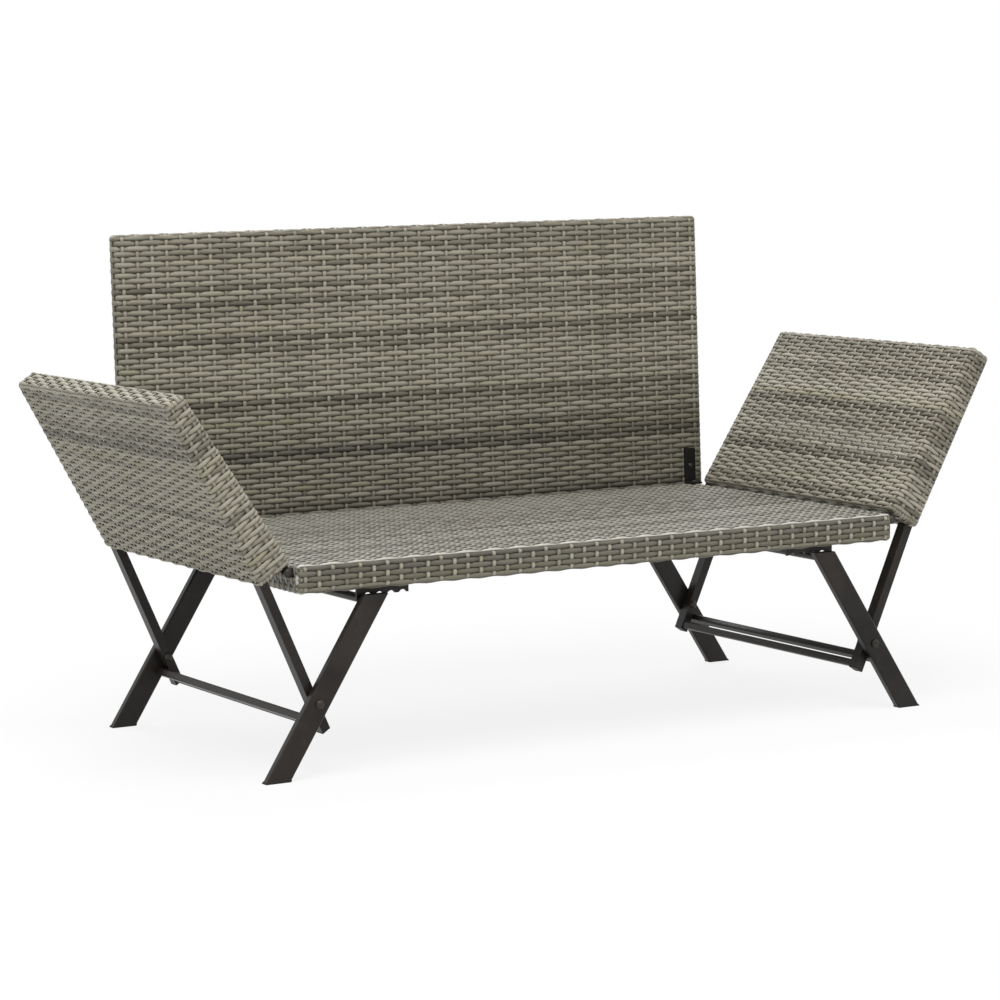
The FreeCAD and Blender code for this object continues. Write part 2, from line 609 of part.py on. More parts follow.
def make_back_posts():
    """Bent posts: upright against the seat's rear face, then leaning inside the back panel."""
    front = "-(Sizes.back_gap - Sizes.post_room)"
    top = "(Sizes.back_height - %s - Sizes.back_tube)" % SKIN
    rear = "(%s + Sizes.post_depth)" % SKIN
    step = "-Sizes.post_step"
    corner = leaned(rear, step)
    profile = [(front, "-Sizes.post_reach"), (front, step), leaned(SKIN, step), leaned(SKIN, top),
               leaned(rear, top), corner, (corner[0], "-Sizes.post_reach")]
    screws = []
    for index, (name, sign) in enumerate((("left", -1), ("middle", 0), ("right", 1))):
        body = new_body("BackPost_" + name)
        side_view = new_sketch(body, "BackPostSide_" + name, "YZ_Plane")
        outline(side_view, profile)
        pad(body, side_view, "Sizes.post_width", symmetric=True)
        bore = new_sketch(body, "BackPostBore_" + name, "XZ_Plane")
        circle(bore, "0", "-" + POST_BOLT, SCREW_BORE)
        pocket(body, bore, symmetric=True)
        x_text = "%d * Sizes.post_spacing" % sign
        keep("back_post_" + name, body, at(x_text, BACK_FRONT, BACK_BOTTOM))
        grip = "(%s + Sizes.back_gap + %s + Sizes.bolt_grip)" % (corner[0], SKIN)
        screw = small_screw("BackPostScrew%d" % index, grip)
        screw.Placement = at(x_text, "%s + %s" % (BACK_FRONT, corner[0]),
                             "%s - %s" % (BACK_BOTTOM, POST_BOLT), ALONG, 90)
        screws.append(screw)
    group("back_post_screws", screws)


def make_back_brackets():
    """Folded brackets in the corners of seat and back, each with one screw into either."""
    wall = "Sizes.bracket_plate"
    lean = "Sizes.back_recline"
    bend = "%s * (tan(%s) - 1 / cos(%s))" % (wall, lean, lean)
    profile = [("-Sizes.bracket_foot", "0"), ("0", "0"), leaned("0", "Sizes.bracket_height"),
               leaned("-" + wall, "Sizes.bracket_height"), (bend, wall), ("-Sizes.bracket_foot", wall)]
    screws = []
    for name, sign in (("left", -1), ("right", 1)):
        body = new_body("BackBracket_" + name)
        side_view = new_sketch(body, "BackBracketSide_" + name, "YZ_Plane")
        outline(side_view, profile)
        pad(body, side_view, "Sizes.bracket_width", symmetric=True)
        high = new_sketch(body, "BackBracketHigh_" + name, "XZ_Plane")
        circle(high, "0", leaned("-%s / 2" % wall, BRACKET_BOLT)[1], SCREW_BORE)
        pocket(body, high, symmetric=True)
        low = new_sketch(body, "BackBracketLow_" + name, "XY_Plane")
        circle(low, "0", "%s - %s" % (BRACKET_SCREW_Y, BRACKET_Y), SCREW_BORE)
        pocket(body, low, symmetric=True)
        keep("back_bracket_" + name, body, at(signed(sign, BRACKET_X), BRACKET_Y, "Sizes.seat_height"))
        grip = "(%s + %s + Sizes.bolt_grip)" % (wall, SKIN)
        upper = small_screw("BackBracketUpper_" + name, grip)
        spot = at(signed(sign, BRACKET_X), "-" + wall, BACK_BOLT, ALONG, -90)
        upper.Placement = back_place().multiply(spot)
        lower = small_screw("BackBracketLower_" + name, grip)
        lower.Placement = at(signed(sign, BRACKET_X), BRACKET_SCREW_Y, "Sizes.seat_height + " + wall,
                             ALONG, 180)
        screws += [upper, lower]
    group("back_bracket_screws", screws)


def make_rack(side, row, sign):
    """A notched rack: a plate with scallops and an end hook, and a flange for its screws."""
    name = "Rack_%s_%s" % (row, side)
    tip = "(Sizes.rod_diameter / 2 + Sizes.rack_room - Sizes.rod_drop - %s)" % SKIN
    hook_tip = "(%s - Sizes.rack_hook_drop)" % tip
    body = new_body(name)
    plate = new_sketch(body, name + "_plate", "XZ_Plane")
    outline(plate, [("-Sizes.rack_reach", "0"), ("-Sizes.rack_reach", tip), (HOOK_IN, tip),
                    (HOOK_IN, hook_tip), (HOOK_OUT, hook_tip), (HOOK_OUT, "0")])
    pad(body, plate, "Sizes.rack_plate", turned=sign > 0)
    flange = new_sketch(body, name + "_flange", "XZ_Plane")
    rectangle(flange, "-Sizes.rack_reach", "-Sizes.rack_flange", HOOK_OUT, "0")
    pad(body, flange, "Sizes.rack_flange_width", turned=sign < 0)
    notch = new_sketch(body, name + "_notch", "XZ_Plane")
    circle(notch, "0", "%s + Sizes.notch_depth - Sizes.notch_radius" % tip, "Sizes.notch_radius")
    first = pocket(body, notch, symmetric=True)
    row_of(body, first, "Sizes.notch_pitch", "Sizes.notch_count", turned=True)
    bores = new_sketch(body, name + "_bores", "XY_Plane")
    for index, along in enumerate(RACK_SCREWS):
        circle(bores, along, signed(-sign, "(Sizes.rack_flange_width / 2)"), SCREW_BORE, "b%d" % index)
    pocket(body, bores)
    place = at(ROD_X, signed(sign, RACK_INNER), "%s + %s" % (SEAT_BOTTOM, SKIN))
    keep("notched_rack_%s_%s" % (row, side), body, on_side(side, place))


def make_racks():
    """The four racks under the seat frame, in which the leg rods catch, and their screws."""
    screws = []
    for side in ("left", "right"):
        for row, sign in rows(side):
            make_rack(side, row, sign)
            for index, along in enumerate(RACK_SCREWS):
                screw = small_screw("RackScrew_%s_%s_%d" % (row, side, index),
                                    "(Sizes.rack_flange + Sizes.screw_grip)")
                spot = at("%s + %s" % (ROD_X, along),
                          signed(sign, "(%s - Sizes.rack_flange_width / 2)" % RACK_INNER),
                          "%s + %s - Sizes.rack_flange" % (SEAT_BOTTOM, SKIN))
                screw.Placement = on_side(side, spot)
                screws.append(screw)
    group("rack_screws", screws)


def make_hinges():
    """The hinge brackets on the seat's ends, and the bolts that the wings turn on."""
    bolts = []
    for side in ("left", "right"):
        for row, sign in rows(side):
            name = "Hinge_%s_%s" % (row, side)
            low_y, high_y = span(sign, HINGE_INNER, HINGE_OUTER)
            web = box(name + "_web", ("-(Sizes.hinge_reach + %s)" % SKIN, low_y, "-Sizes.hinge_round"),
                      ("0", high_y, "Sizes.hinge_round"))
            knuckle = disc(name + "_knuckle", "Sizes.hinge_round", low_y, high_y)
            bore = disc(name + "_bore", PIN_BORE, low_y, high_y)
            bracket = cut(name, fuse(name + "_blank", [web, knuckle]), bore)
            keep("hinge_bracket_%s_%s" % (row, side), bracket, on_side(side, at(PIN_X, 0, PIN_Z)))
            bolts.append(cross_bolt(name + "_bolt", sign, HINGE_OUTER,
                                    "(%s - Sizes.side_room)" % TAB_INNER, side, PIN_X, PIN_Z))
    group("hinge_bolts", bolts)


def make_wing_rail(side, row, sign):
    """One bent tube: the wing's outer rail, carried on under the seat as the strut."""
    name = "WingRail_%s_%s" % (row, side)
    body = new_body(name)
    route = new_sketch(body, name + "_route", "XZ_Plane")
    run = "(%s - Sizes.rail_room - Sizes.wing_start)" % FAR_INSIDE
    lower = ("-Sizes.strut_reach", "-Sizes.strut_reach * tan(Sizes.strut_slope)")
    upper = (run, "%s * %s" % (run, WING_SLOPE))
    ends = [Vector(number(x), number(y), 0) for x, y in (lower, ("0", "0"), upper)]
    route.addGeometry(Part.LineSegment(ends[0], ends[1]), False)
    route.addGeometry(Part.LineSegment(ends[1], ends[2]), False)
    route.addConstraint(Sketcher.Constraint("Coincident", 0, 2, 1, 1))
    pin_point(route, 0, 1, "a", *lower)
    pin_point(route, 0, 2, "b", "0", "0")
    pin_point(route, 1, 2, "c", *upper)
    section = new_sketch(body, name + "_section", "YZ_Plane", lower[0])
    section.setExpression("AttachmentOffset.Base.y", lower[1])
    centred(section, "Sizes.rail_width", "Sizes.rail_depth", "outer")
    centred(section, "Sizes.rail_width - 2 * Sizes.rail_wall",
            "Sizes.rail_depth - 2 * Sizes.rail_wall", "inner")
    pipe = body.newObject("PartDesign::AdditivePipe", name + "_pipe")
    pipe.Profile = section
    pipe.Spine = (route, [])
    pipe.Transition = "Right corner"
    DOC.recompute()
    bore = new_sketch(body, name + "_bore", "XZ_Plane")
    circle(bore, "-Sizes.pivot_reach", "-" + PIVOT_FALL, PIN_BORE)
    pocket(body, bore, symmetric=True)
    place = wing_place().multiply(at("Sizes.wing_start", signed(sign, RAIL_MIDDLE), BEND_Z))
    keep("wing_rail_%s_%s" % (row, side), body, on_side(side, place))


def make_wing_frame(side):
    """The wing's inner tubes: two rails, three cross tubes, two uprights and two hinge tabs."""
    name = "WingFrame_" + side
    under = "(%s - Sizes.inner_depth)" % INNER_FACE
    base = "(%s + (%s + Sizes.cross_tube) * %s + %s * %s)" % (
        WING_FLOOR, SKIN, WING_SLOPE, SKIN, SLOPE_STRETCH)
    tip = "(Sizes.hinge_drop - Sizes.wing_tip + %s)" % SKIN
    side_face = "(%s / 2 - %s)" % (WING_WIDTH, SKIN)
    solids = [box(name + "_hinge_tube", (NEAR_EDGE, "-" + side_face, under),
                  (NEAR_INSIDE, side_face, INNER_FACE)),
              box(name + "_tip_tube", (FAR_INSIDE, "-" + side_face, tip),
                  (FAR_EDGE, side_face, INNER_FACE)),
              box(name + "_base_tube", (NEAR_EDGE, "-" + RAIL_INNER, base),
                  (NEAR_INSIDE, RAIL_INNER, base + " + Sizes.inner_depth"))]
    for row, sign in rows(side):
        mark = "%s_%s" % (name, row)
        low_y, high_y = span(sign, RAIL_INNER, RAIL_OUTER)
        solids.append(box(mark + "_rail", (NEAR_EDGE, low_y, under), (FAR_EDGE, high_y, INNER_FACE)))
        low_y, high_y = span(sign, "(%s - Sizes.cross_tube)" % RAIL_INNER, RAIL_INNER)
        solids.append(box(mark + "_upright", (NEAR_EDGE, low_y, base),
                          (NEAR_INSIDE, high_y, INNER_FACE)))
        low_y, high_y = span(sign, TAB_INNER, RAIL_OUTER)
        solids.append(box(mark + "_tab", ("0", low_y, "-Sizes.hinge_round"),
                          (NEAR_INSIDE, high_y, "Sizes.hinge_round")))
        solids.append(disc(mark + "_knuckle", "Sizes.hinge_round", low_y, high_y))
    bore = disc(name + "_bore", PIN_BORE, "-" + RAIL_OUTER, RAIL_OUTER)
    frame = cut(name, fuse(name + "_blank", solids), bore)
    keep("wing_frame_" + side, frame, on_side(side, wing_place()))


def make_wing_weave(side):
    """The woven skin of a wing: a hollow wedge with slots for its rails and hinge tabs."""
    name = "WingWeave_" + side
    body = new_body(name)
    wedge = new_sketch(body, name + "_outside", "XZ_Plane")
    outline(wedge, [("Sizes.wing_start", "Sizes.hinge_drop"), ("Sizes.wing_length", "Sizes.hinge_drop"),
                    ("Sizes.wing_length", "Sizes.hinge_drop - Sizes.wing_tip"),
                    ("Sizes.wing_start", WING_FLOOR)])
    pad(body, wedge, WING_WIDTH, symmetric=True)
    round_edges(body, "Sizes.weave_round")
    near = "(Sizes.wing_start + Sizes.weave_wall)"
    far = "(Sizes.wing_length - Sizes.weave_wall)"
    face = "(Sizes.hinge_drop - Sizes.weave_wall)"
    floor = "(%s + Sizes.weave_wall * %s)" % (WING_FLOOR, SLOPE_STRETCH)
    hollow = new_sketch(body, name + "_hollow", "XZ_Plane")
    outline(hollow, [(near, face), (far, face),
                     (far, "%s + (%s - Sizes.wing_start) * %s" % (floor, far, WING_SLOPE)),
                     (near, "%s + Sizes.weave_wall * %s" % (floor, WING_SLOPE))])
    pocket(body, hollow, "%s - 2 * Sizes.weave_wall" % WING_WIDTH, symmetric=True)
    slots = new_sketch(body, name + "_slots", "YZ_Plane", "Sizes.wing_start")
    for row, sign in rows(side):
        around(slots, signed(sign, RAIL_MIDDLE), BEND_Z, "(Sizes.rail_width / 2 + Sizes.weave_room)",
               "(Sizes.rail_depth / 2 + 2 * Sizes.weave_room)", row + "rail")
        around(slots, signed(sign, "(%s - Sizes.hinge_plate / 2)" % RAIL_OUTER), "0",
               "(Sizes.hinge_plate / 2 + Sizes.weave_room)",
               "(Sizes.hinge_round + Sizes.weave_room)", row + "tab")
    pocket(body, slots, SKIN, turned=True)
    keep("wing_weave_" + side, body, on_side(side, wing_place()))


def make_strut_ends(side):
    """The brace between a wing's two struts near their lower ends, and the caps on the ends."""
    fall = "tan(Sizes.strut_slope)"
    brace = square_tube("StrutBrace_" + side, "Sizes.strut_brace", "Sizes.rail_wall",
                        "2 * " + RAIL_INNER)
    reach = "(Sizes.strut_reach - Sizes.strut_brace_inset)"
    spot = at("Sizes.wing_start - " + reach, 0, "%s - %s * %s" % (BEND_Z, reach, fall), ACROSS,
              -number("Sizes.strut_slope"))
    keep("strut_brace_" + side, brace, on_side(side, wing_place().multiply(spot)))
    caps = []
    inset = "(Sizes.rail_wall + Sizes.plug_room)"
    half = "(Sizes.rail_depth / 2)"
    inner = "(%s - %s)" % (half, inset)
    for row, sign in rows(side):
        name = "StrutCap_%s_%s" % (row, side)
        cap = new_body(name)
        cover = new_sketch(cap, name + "_cover", "XZ_Plane")
        drop = "Sizes.cap_depth * " + fall
        outline(cover, [("0", "-" + half), ("0", half), ("-Sizes.cap_depth", "%s - %s" % (half, drop)),
                        ("-Sizes.cap_depth", "-%s - %s" % (half, drop))])
        pad(cap, cover, "Sizes.rail_width", symmetric=True)
        stem = new_sketch(cap, name + "_stem", "XZ_Plane")
        rise = "Sizes.cap_stem * " + fall
        outline(stem, [("0", "-" + inner), ("0", inner), ("Sizes.cap_stem", "%s + %s" % (inner, rise)),
                       ("Sizes.cap_stem", "-%s + %s" % (inner, rise))])
        pad(cap, stem, "Sizes.rail_width - 2 * " + inset, symmetric=True)
        end = at("Sizes.wing_start - Sizes.strut_reach", signed(sign, RAIL_MIDDLE),
                 "%s - Sizes.strut_reach * %s" % (BEND_Z, fall))
        cap.Placement = on_side(side, wing_place().multiply(end))
        caps.append(cap)
    group("strut_caps_" + side, caps)


def make_leg(side, row, sign):
    """One leg: a flat tube, cut level at the floor and under the seat, bored for its pivot."""
    name = "Leg_%s_%s" % (row, side)
    blank = "(2 * Sizes.seat_height)"
    body = new_body(name)
    section = new_sketch(body, name + "_section", "YZ_Plane")
    centred(section, "Sizes.leg_depth", "Sizes.leg_width")
    pad(body, section, blank, symmetric=True)
    round_edges(body, "Sizes.tube_round", ALONG)
    hollow = new_sketch(body, name + "_hollow", "YZ_Plane")
    centred(hollow, "Sizes.leg_depth - 2 * Sizes.leg_wall", "Sizes.leg_width - 2 * Sizes.leg_wall")
    pocket(body, hollow, symmetric=True)
    wide = "Sizes.leg_width"
    slant = "Sizes.leg_width / tan(Sizes.leg_angle)"
    for end, level, sign_x in (("foot", "Sizes.plug_base", -1),
                               ("head", "%s - Sizes.leg_head" % SEAT_BOTTOM, 1)):
        middle = "((%s - %s) / sin(Sizes.leg_angle))" % (level, PIVOT_Z)
        away = signed(sign_x, blank)
        saw = new_sketch(body, "%s_%s_cut" % (name, end), "XZ_Plane")
        outline(saw, [("%s + %s" % (middle, slant), wide), ("%s - %s" % (middle, slant), "-" + wide),
                      (away, "-" + wide), (away, wide)])
        pocket(body, saw, symmetric=True)
    bore = new_sketch(body, name + "_bore", "XZ_Plane")
    circle(bore, "0", "0", PIN_BORE)
    pocket(body, bore, symmetric=True)
    place = at(0, signed(sign, LEG_MIDDLE), 0).multiply(leg_place())
    keep("leg_%s_%s" % (row, side), body, on_side(side, place))


def make_foot_plug(side, row, sign):
    """The plug in a leg's foot: a level base on the floor and a stem up inside the tube."""
    name = "FootPlug_%s_%s" % (row, side)
    half = "(Sizes.leg_width / 2 / sin(Sizes.leg_angle))"
    slide = "(Sizes.plug_base / tan(Sizes.leg_angle))"
    body = new_body(name)
    base = new_sketch(body, name + "_base", "XZ_Plane")
    outline(base, [("-" + half, "0"), (half, "0"), ("%s + %s" % (half, slide), "-Sizes.plug_base"),
                   ("-%s + %s" % (half, slide), "-Sizes.plug_base")])
    pad(body, base, "Sizes.leg_depth", symmetric=True)
    inner = "((Sizes.leg_width / 2 - Sizes.leg_wall - Sizes.plug_room) / sin(Sizes.leg_angle))"
    climb = "(Sizes.plug_stem / tan(Sizes.leg_angle))"
    stem = new_sketch(body, name + "_stem", "XZ_Plane")
    outline(stem, [("-" + inner, "0"), (inner, "0"), ("%s - %s" % (inner, climb), "Sizes.plug_stem"),
                   ("-%s - %s" % (inner, climb), "Sizes.plug_stem")])
    pad(body, stem, "Sizes.leg_depth - 2 * (Sizes.leg_wall + Sizes.plug_room)", symmetric=True)
    foot_x = "(%s + (%s - Sizes.plug_base) / tan(Sizes.leg_angle))" % (PIVOT_X, PIVOT_Z)
    place = at(foot_x, signed(sign, LEG_MIDDLE), "Sizes.plug_base")
    keep("foot_plug_%s_%s" % (row, side), body, on_side(side, place))


def make_leg_joiners(side):
    """The rod between two legs' tops and the brace under their pivots."""
    rod = new_body("LegRod_" + side)
    ring = new_sketch(rod, "LegRod_%s_ring" % side, "XZ_Plane")
    circle(ring, "0", "0", "Sizes.rod_diameter / 2", "outer")
    circle(ring, "0", "0", "Sizes.rod_diameter / 2 - Sizes.rod_wall", "inner")
    pad(rod, ring, "2 * " + LEG_INNER, symmetric=True)
    keep("leg_rod_" + side, rod, on_side(side, at(ROD_X, 0, ROD_Z)))
    brace = square_tube("LegBrace_" + side, "Sizes.leg_brace", "Sizes.leg_wall", "2 * " + LEG_INNER)
    spot = leg_place().multiply(at("-Sizes.leg_brace_drop", 0, "Sizes.leg_brace_shift"))
    keep("leg_brace_" + side, brace, on_side(side, spot))


def make_pivots(side):
    """The bolts on which the legs turn, and the washers between leg and strut."""
    bolts = []
    washers = []
    for row, sign in rows(side):
        name = "Pivot_%s_%s" % (row, side)
        bolts.append(cross_bolt(name + "_bolt", sign, "(%s + Sizes.side_room)" % LEG_OUTER,
                                RAIL_INNER, side, PIVOT_X, PIVOT_Z))
        low_y, high_y = span(sign, "(%s - Sizes.washer_depth)" % LEG_INNER, LEG_INNER)
        plate = disc(name + "_plate", "Sizes.washer_diameter / 2", low_y, high_y)
        bore = disc(name + "_bore", "Sizes.pin_diameter / 2 + Sizes.washer_room", low_y, high_y)
        washer = cut(name + "_washer", plate, bore)
        washer.Placement = on_side(side, at(PIVOT_X, 0, PIVOT_Z))
        washers.append(washer)
    group("pivot_bolts_" + side, bolts)
    group("pivot_washers_" + side, washers)


def check_document():
    """Stop unless every object and every kept shape is sound."""
    DOC.recompute()
    for item in DOC.Objects:
        if "Invalid" in item.State or "Error" in item.State:
            raise RuntimeError("%s: %s" % (item.Name, item.State))
    for label, item in KEPT.items():
        if item.Shape.isNull() or not item.Shape.isValid():
            raise RuntimeError(label + " has no sound shape")


def write_parts():
    """Write each kept sub-part under its own name, and say what it is."""
    os.makedirs("parts", exist_ok=True)
    for label in sorted(KEPT):
        shape = KEPT[label].Shape
        shape.exportStep("parts/%s.step" % label)
        bounds = shape.optimalBoundingBox()
        print("%-28s %d solids  x %.1f to %.1f  y %.1f to %.1f  z %.1f to %.1f" % (
            label, len(shape.Solids), bounds.XMin, bounds.XMax,
            bounds.YMin, bounds.YMax, bounds.ZMin, bounds.ZMax))


def main():
    """Build the seat, the back, then each end with its wing and its leg set."""
    make_seat_frame()
    make_seat_weave()
    make_racks()
    make_back_panel()
    make_back_posts()
    make_back_brackets()
    make_hinges()
    for side in ("left", "right"):
        for row, sign in rows(side):
            make_wing_rail(side, row, sign)
            make_leg(side, row, sign)
            make_foot_plug(side, row, sign)
        make_wing_frame(side)
        make_wing_weave(side)
        make_strut_ends(side)
        make_leg_joiners(side)
        make_pivots(side)
    check_document()
    write_parts()


main()
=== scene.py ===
"""A woven patio bench with two tilting wings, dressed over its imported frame.

The frame's nodes keep their places and get their finishes here. The four woven skins are
made again as real strands: rows and stakes that pass over and under each other, laid by
Geometry Nodes around a rounded panel or over one of its faces. Lengths are metres and angles
are radians.
"""

import json
import logging
import math
from dataclasses import dataclass, field, fields, replace
from enum import Enum
from typing import Any, Iterable

import bpy
from mathutils import Matrix, Vector


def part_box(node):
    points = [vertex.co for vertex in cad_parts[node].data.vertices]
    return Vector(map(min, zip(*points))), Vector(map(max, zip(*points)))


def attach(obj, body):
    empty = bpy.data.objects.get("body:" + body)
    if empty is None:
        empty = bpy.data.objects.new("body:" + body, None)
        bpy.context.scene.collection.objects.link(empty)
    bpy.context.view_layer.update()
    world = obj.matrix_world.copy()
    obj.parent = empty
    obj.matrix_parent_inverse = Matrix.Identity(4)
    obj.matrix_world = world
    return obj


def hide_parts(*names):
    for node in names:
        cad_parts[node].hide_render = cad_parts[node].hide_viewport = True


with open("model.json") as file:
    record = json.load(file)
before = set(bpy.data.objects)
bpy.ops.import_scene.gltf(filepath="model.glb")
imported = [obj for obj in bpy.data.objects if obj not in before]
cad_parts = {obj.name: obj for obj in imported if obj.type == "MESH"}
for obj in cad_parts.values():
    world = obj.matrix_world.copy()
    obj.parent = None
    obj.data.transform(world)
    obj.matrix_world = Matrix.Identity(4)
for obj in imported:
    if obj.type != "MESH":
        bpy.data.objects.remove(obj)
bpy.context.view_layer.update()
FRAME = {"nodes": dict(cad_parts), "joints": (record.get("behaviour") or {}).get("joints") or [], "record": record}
LOG = logging.getLogger("bench")

MM = 0.001
HALF_TURN = math.pi
QUARTER_TURN = math.pi / 2
WHITE = (1.0, 1.0, 1.0, 1.0)
NO_ROW = -9

Chart = tuple[int, int, int]


def paint(chart: Chart) -> tuple[float, ...]:
    """A linear colour from the 0 to 255 numbers of a paint chart.

    Args:
        chart: the display values of red, green and blue.

    Returns:
        The linear colour with full alpha.
    """
    def linear(value: int) -> float:
        """One display value, made linear."""
        share = value / 255
        return share / 12.92 if share <= 0.04045 else ((share + 0.055) / 1.055) ** 2.4
    return *(linear(value) for value in chart), 1.0


class Slot(Enum):
    """The record's material slots."""

    WICKER = "wicker"
    STEEL = "steel"
    FASTENER = "fastener"
    PLASTIC = "plastic"


class Side(Enum):
    """The bench's two ends, with the sign of X there."""

    LEFT = -1
    RIGHT = 1

    @property
    def word(self) -> str:
        """The end's name inside node names."""
        return self.name.lower()


class Course(Enum):
    """How far round its panel a strand runs."""

    AROUND = "around"
    FACE = "face"


class Term:
    """A number in a node tree, which Python expressions can use."""

    def __init__(self, maker: "TreeMaker", socket: bpy.types.NodeSocket) -> None:
        """Wrap one output socket."""
        self.maker = maker
        self.socket = socket

    def __add__(self, other: "Number") -> "Term":
        """Self plus other."""
        return self.maker.math("ADD", self, other)

    __radd__ = __add__

    def __sub__(self, other: "Number") -> "Term":
        """Self less other."""
        return self.maker.math("SUBTRACT", self, other)

    def __rsub__(self, other: "Number") -> "Term":
        """Other less self."""
        return self.maker.math("SUBTRACT", other, self)

    def __mul__(self, other: "Number") -> "Term":
        """Self times other."""
        return self.maker.math("MULTIPLY", self, other)

    __rmul__ = __mul__

    def __truediv__(self, other: "Number") -> "Term":
        """Self over other."""
        return self.maker.math("DIVIDE", self, other)

    def __rtruediv__(self, other: "Number") -> "Term":
        """Other over self."""
        return self.maker.math("DIVIDE", other, self)

    def __neg__(self) -> "Term":
        """Self with its sign changed."""
        return 0.0 - self

    def __abs__(self) -> "Term":
        """Self without its sign."""
        return self.maker.math("ABSOLUTE", self)

    def power(self, other: "Number") -> "Term":
        """Self to a power."""
        return self.maker.math("POWER", self, other)

    def sine(self) -> "Term":
        """The sine of self."""
        return self.maker.math("SINE", self)

    def cosine(self) -> "Term":
        """The cosine of self."""
        return self.maker.math("COSINE", self)

    def above(self, other: "Number") -> "Term":
        """One where self is more than other, and else zero."""
        return self.maker.math("GREATER_THAN", self, other)

    def between(self, low: "Number", high: "Number") -> "Term":
        """Self held between two limits."""
        node = self.maker.node("ShaderNodeClamp", inputs={"Value": self, "Min": low, "Max": high})
        return Term(self.maker, node.outputs[0])


Number = Term | float | int


class TreeMaker:
    """Adds nodes to one tree."""

    def __init__(self, tree: bpy.types.NodeTree) -> None:
        """Work on one tree."""
        self.tree = tree

    def feed(self, socket: bpy.types.NodeSocket, value: Any) -> None:
        """Give a socket a link or a value.

        Args:
            socket: the input to fill.
            value: a Term or socket to link, or a plain value.
        """
        if isinstance(value, Term):
            value = value.socket
        if isinstance(value, bpy.types.NodeSocket):
            self.tree.links.new(value, socket)
        else:
            socket.default_value = value

    def node(self, kind: str, settings: dict[str, Any] | None = None,
             inputs: dict[str | int, Any] | None = None) -> bpy.types.Node:
        """Add a node.

        Args:
            kind: the node's type.
            settings: its own settings; "stops" are a ramp's places and colours.
            inputs: values or links of its sockets, by name or number.

        Returns:
            The new node.
        """
        made = self.tree.nodes.new(kind)
        for name, value in (settings or {}).items():
            if name == "stops":
                self._set_stops(made.color_ramp, value)
            else:
                setattr(made, name, value)
        for key, value in (inputs or {}).items():
            self.feed(made.inputs[key], value)
        return made

    def term(self, kind: str, settings: dict[str, Any] | None = None,
             inputs: dict[str | int, Any] | None = None, output: str | int = 0) -> Term:
        """Add a node and take one of its outputs."""
        return Term(self, self.node(kind, settings, inputs).outputs[output])

    def math(self, operation: str, *values: Number) -> Term:
        """A Math node's result."""
        return self.term("ShaderNodeMath", {"operation": operation}, dict(enumerate(values)))

    def vector(self, x: Number, y: Number, z: Number) -> Term:
        """A vector from three numbers."""
        return self.term("ShaderNodeCombineXYZ", inputs={0: x, 1: y, 2: z})

    def scaled(self, direction: Term, length: Number) -> Term:
        """A direction times a length."""
        return self.term("ShaderNodeVectorMath", {"operation": "SCALE"},
                         {0: direction, "Scale": length})

    def summed(self, *vectors: Term) -> Term:
        """The sum of vectors.

        Args:
            vectors: the vectors to add up.

        Returns:
            Their sum.
        """
        total = vectors[0]
        for vector in vectors[1:]:
            total = self.term("ShaderNodeVectorMath", {"operation": "ADD"}, {0: total, 1: vector})
        return total

    def parts(self, vector: Term) -> tuple[Term, Term, Term]:
        """The three numbers of a vector."""
        node = self.node("ShaderNodeSeparateXYZ", inputs={0: vector})
        return tuple(Term(self, output) for output in node.outputs)

    def mixed(self, factor: Number, first: Any, second: Any, blend: str = "MIX") -> Term:
        """Two colours mixed."""
        settings = {"data_type": "RGBA", "blend_type": blend, "clamp_factor": True}
        return self.term("ShaderNodeMix", settings, {0: factor, 6: first, 7: second}, 2)

    def noise(self, vector: Term, scale: float, detail: float = 2.0,
              roughness: float = 0.5) -> Term:
        """A noise between nought and one.

        Args:
            vector: where the noise is read.
            scale, detail, roughness: the Noise Texture's own numbers.

        Returns:
            The noise.
        """
        return self.term("ShaderNodeTexNoise", {"noise_dimensions": "3D"},
                         {"Vector": vector, "Scale": scale, "Detail": detail,
                          "Roughness": roughness})

    def bump(self, height: Term, strength: float, distance: float) -> Term:
        """A normal that a height roughens."""
        return self.term("ShaderNodeBump",
                         inputs={"Strength": strength, "Distance": distance, "Height": height})

    @staticmethod
    def _set_stops(ramp: bpy.types.ColorRamp,
                   stops: Iterable[tuple[float, tuple[float, ...]]]) -> None:
        """Place a ramp's colours.

        Args:
            ramp: the ramp.
            stops: pairs of place and colour.
        """
        stops = list(stops)
        while len(ramp.elements) < len(stops):
            ramp.elements.new(0.5)
        for element, (place, colour) in zip(ramp.elements, stops):
            element.position = place
            element.color = colour


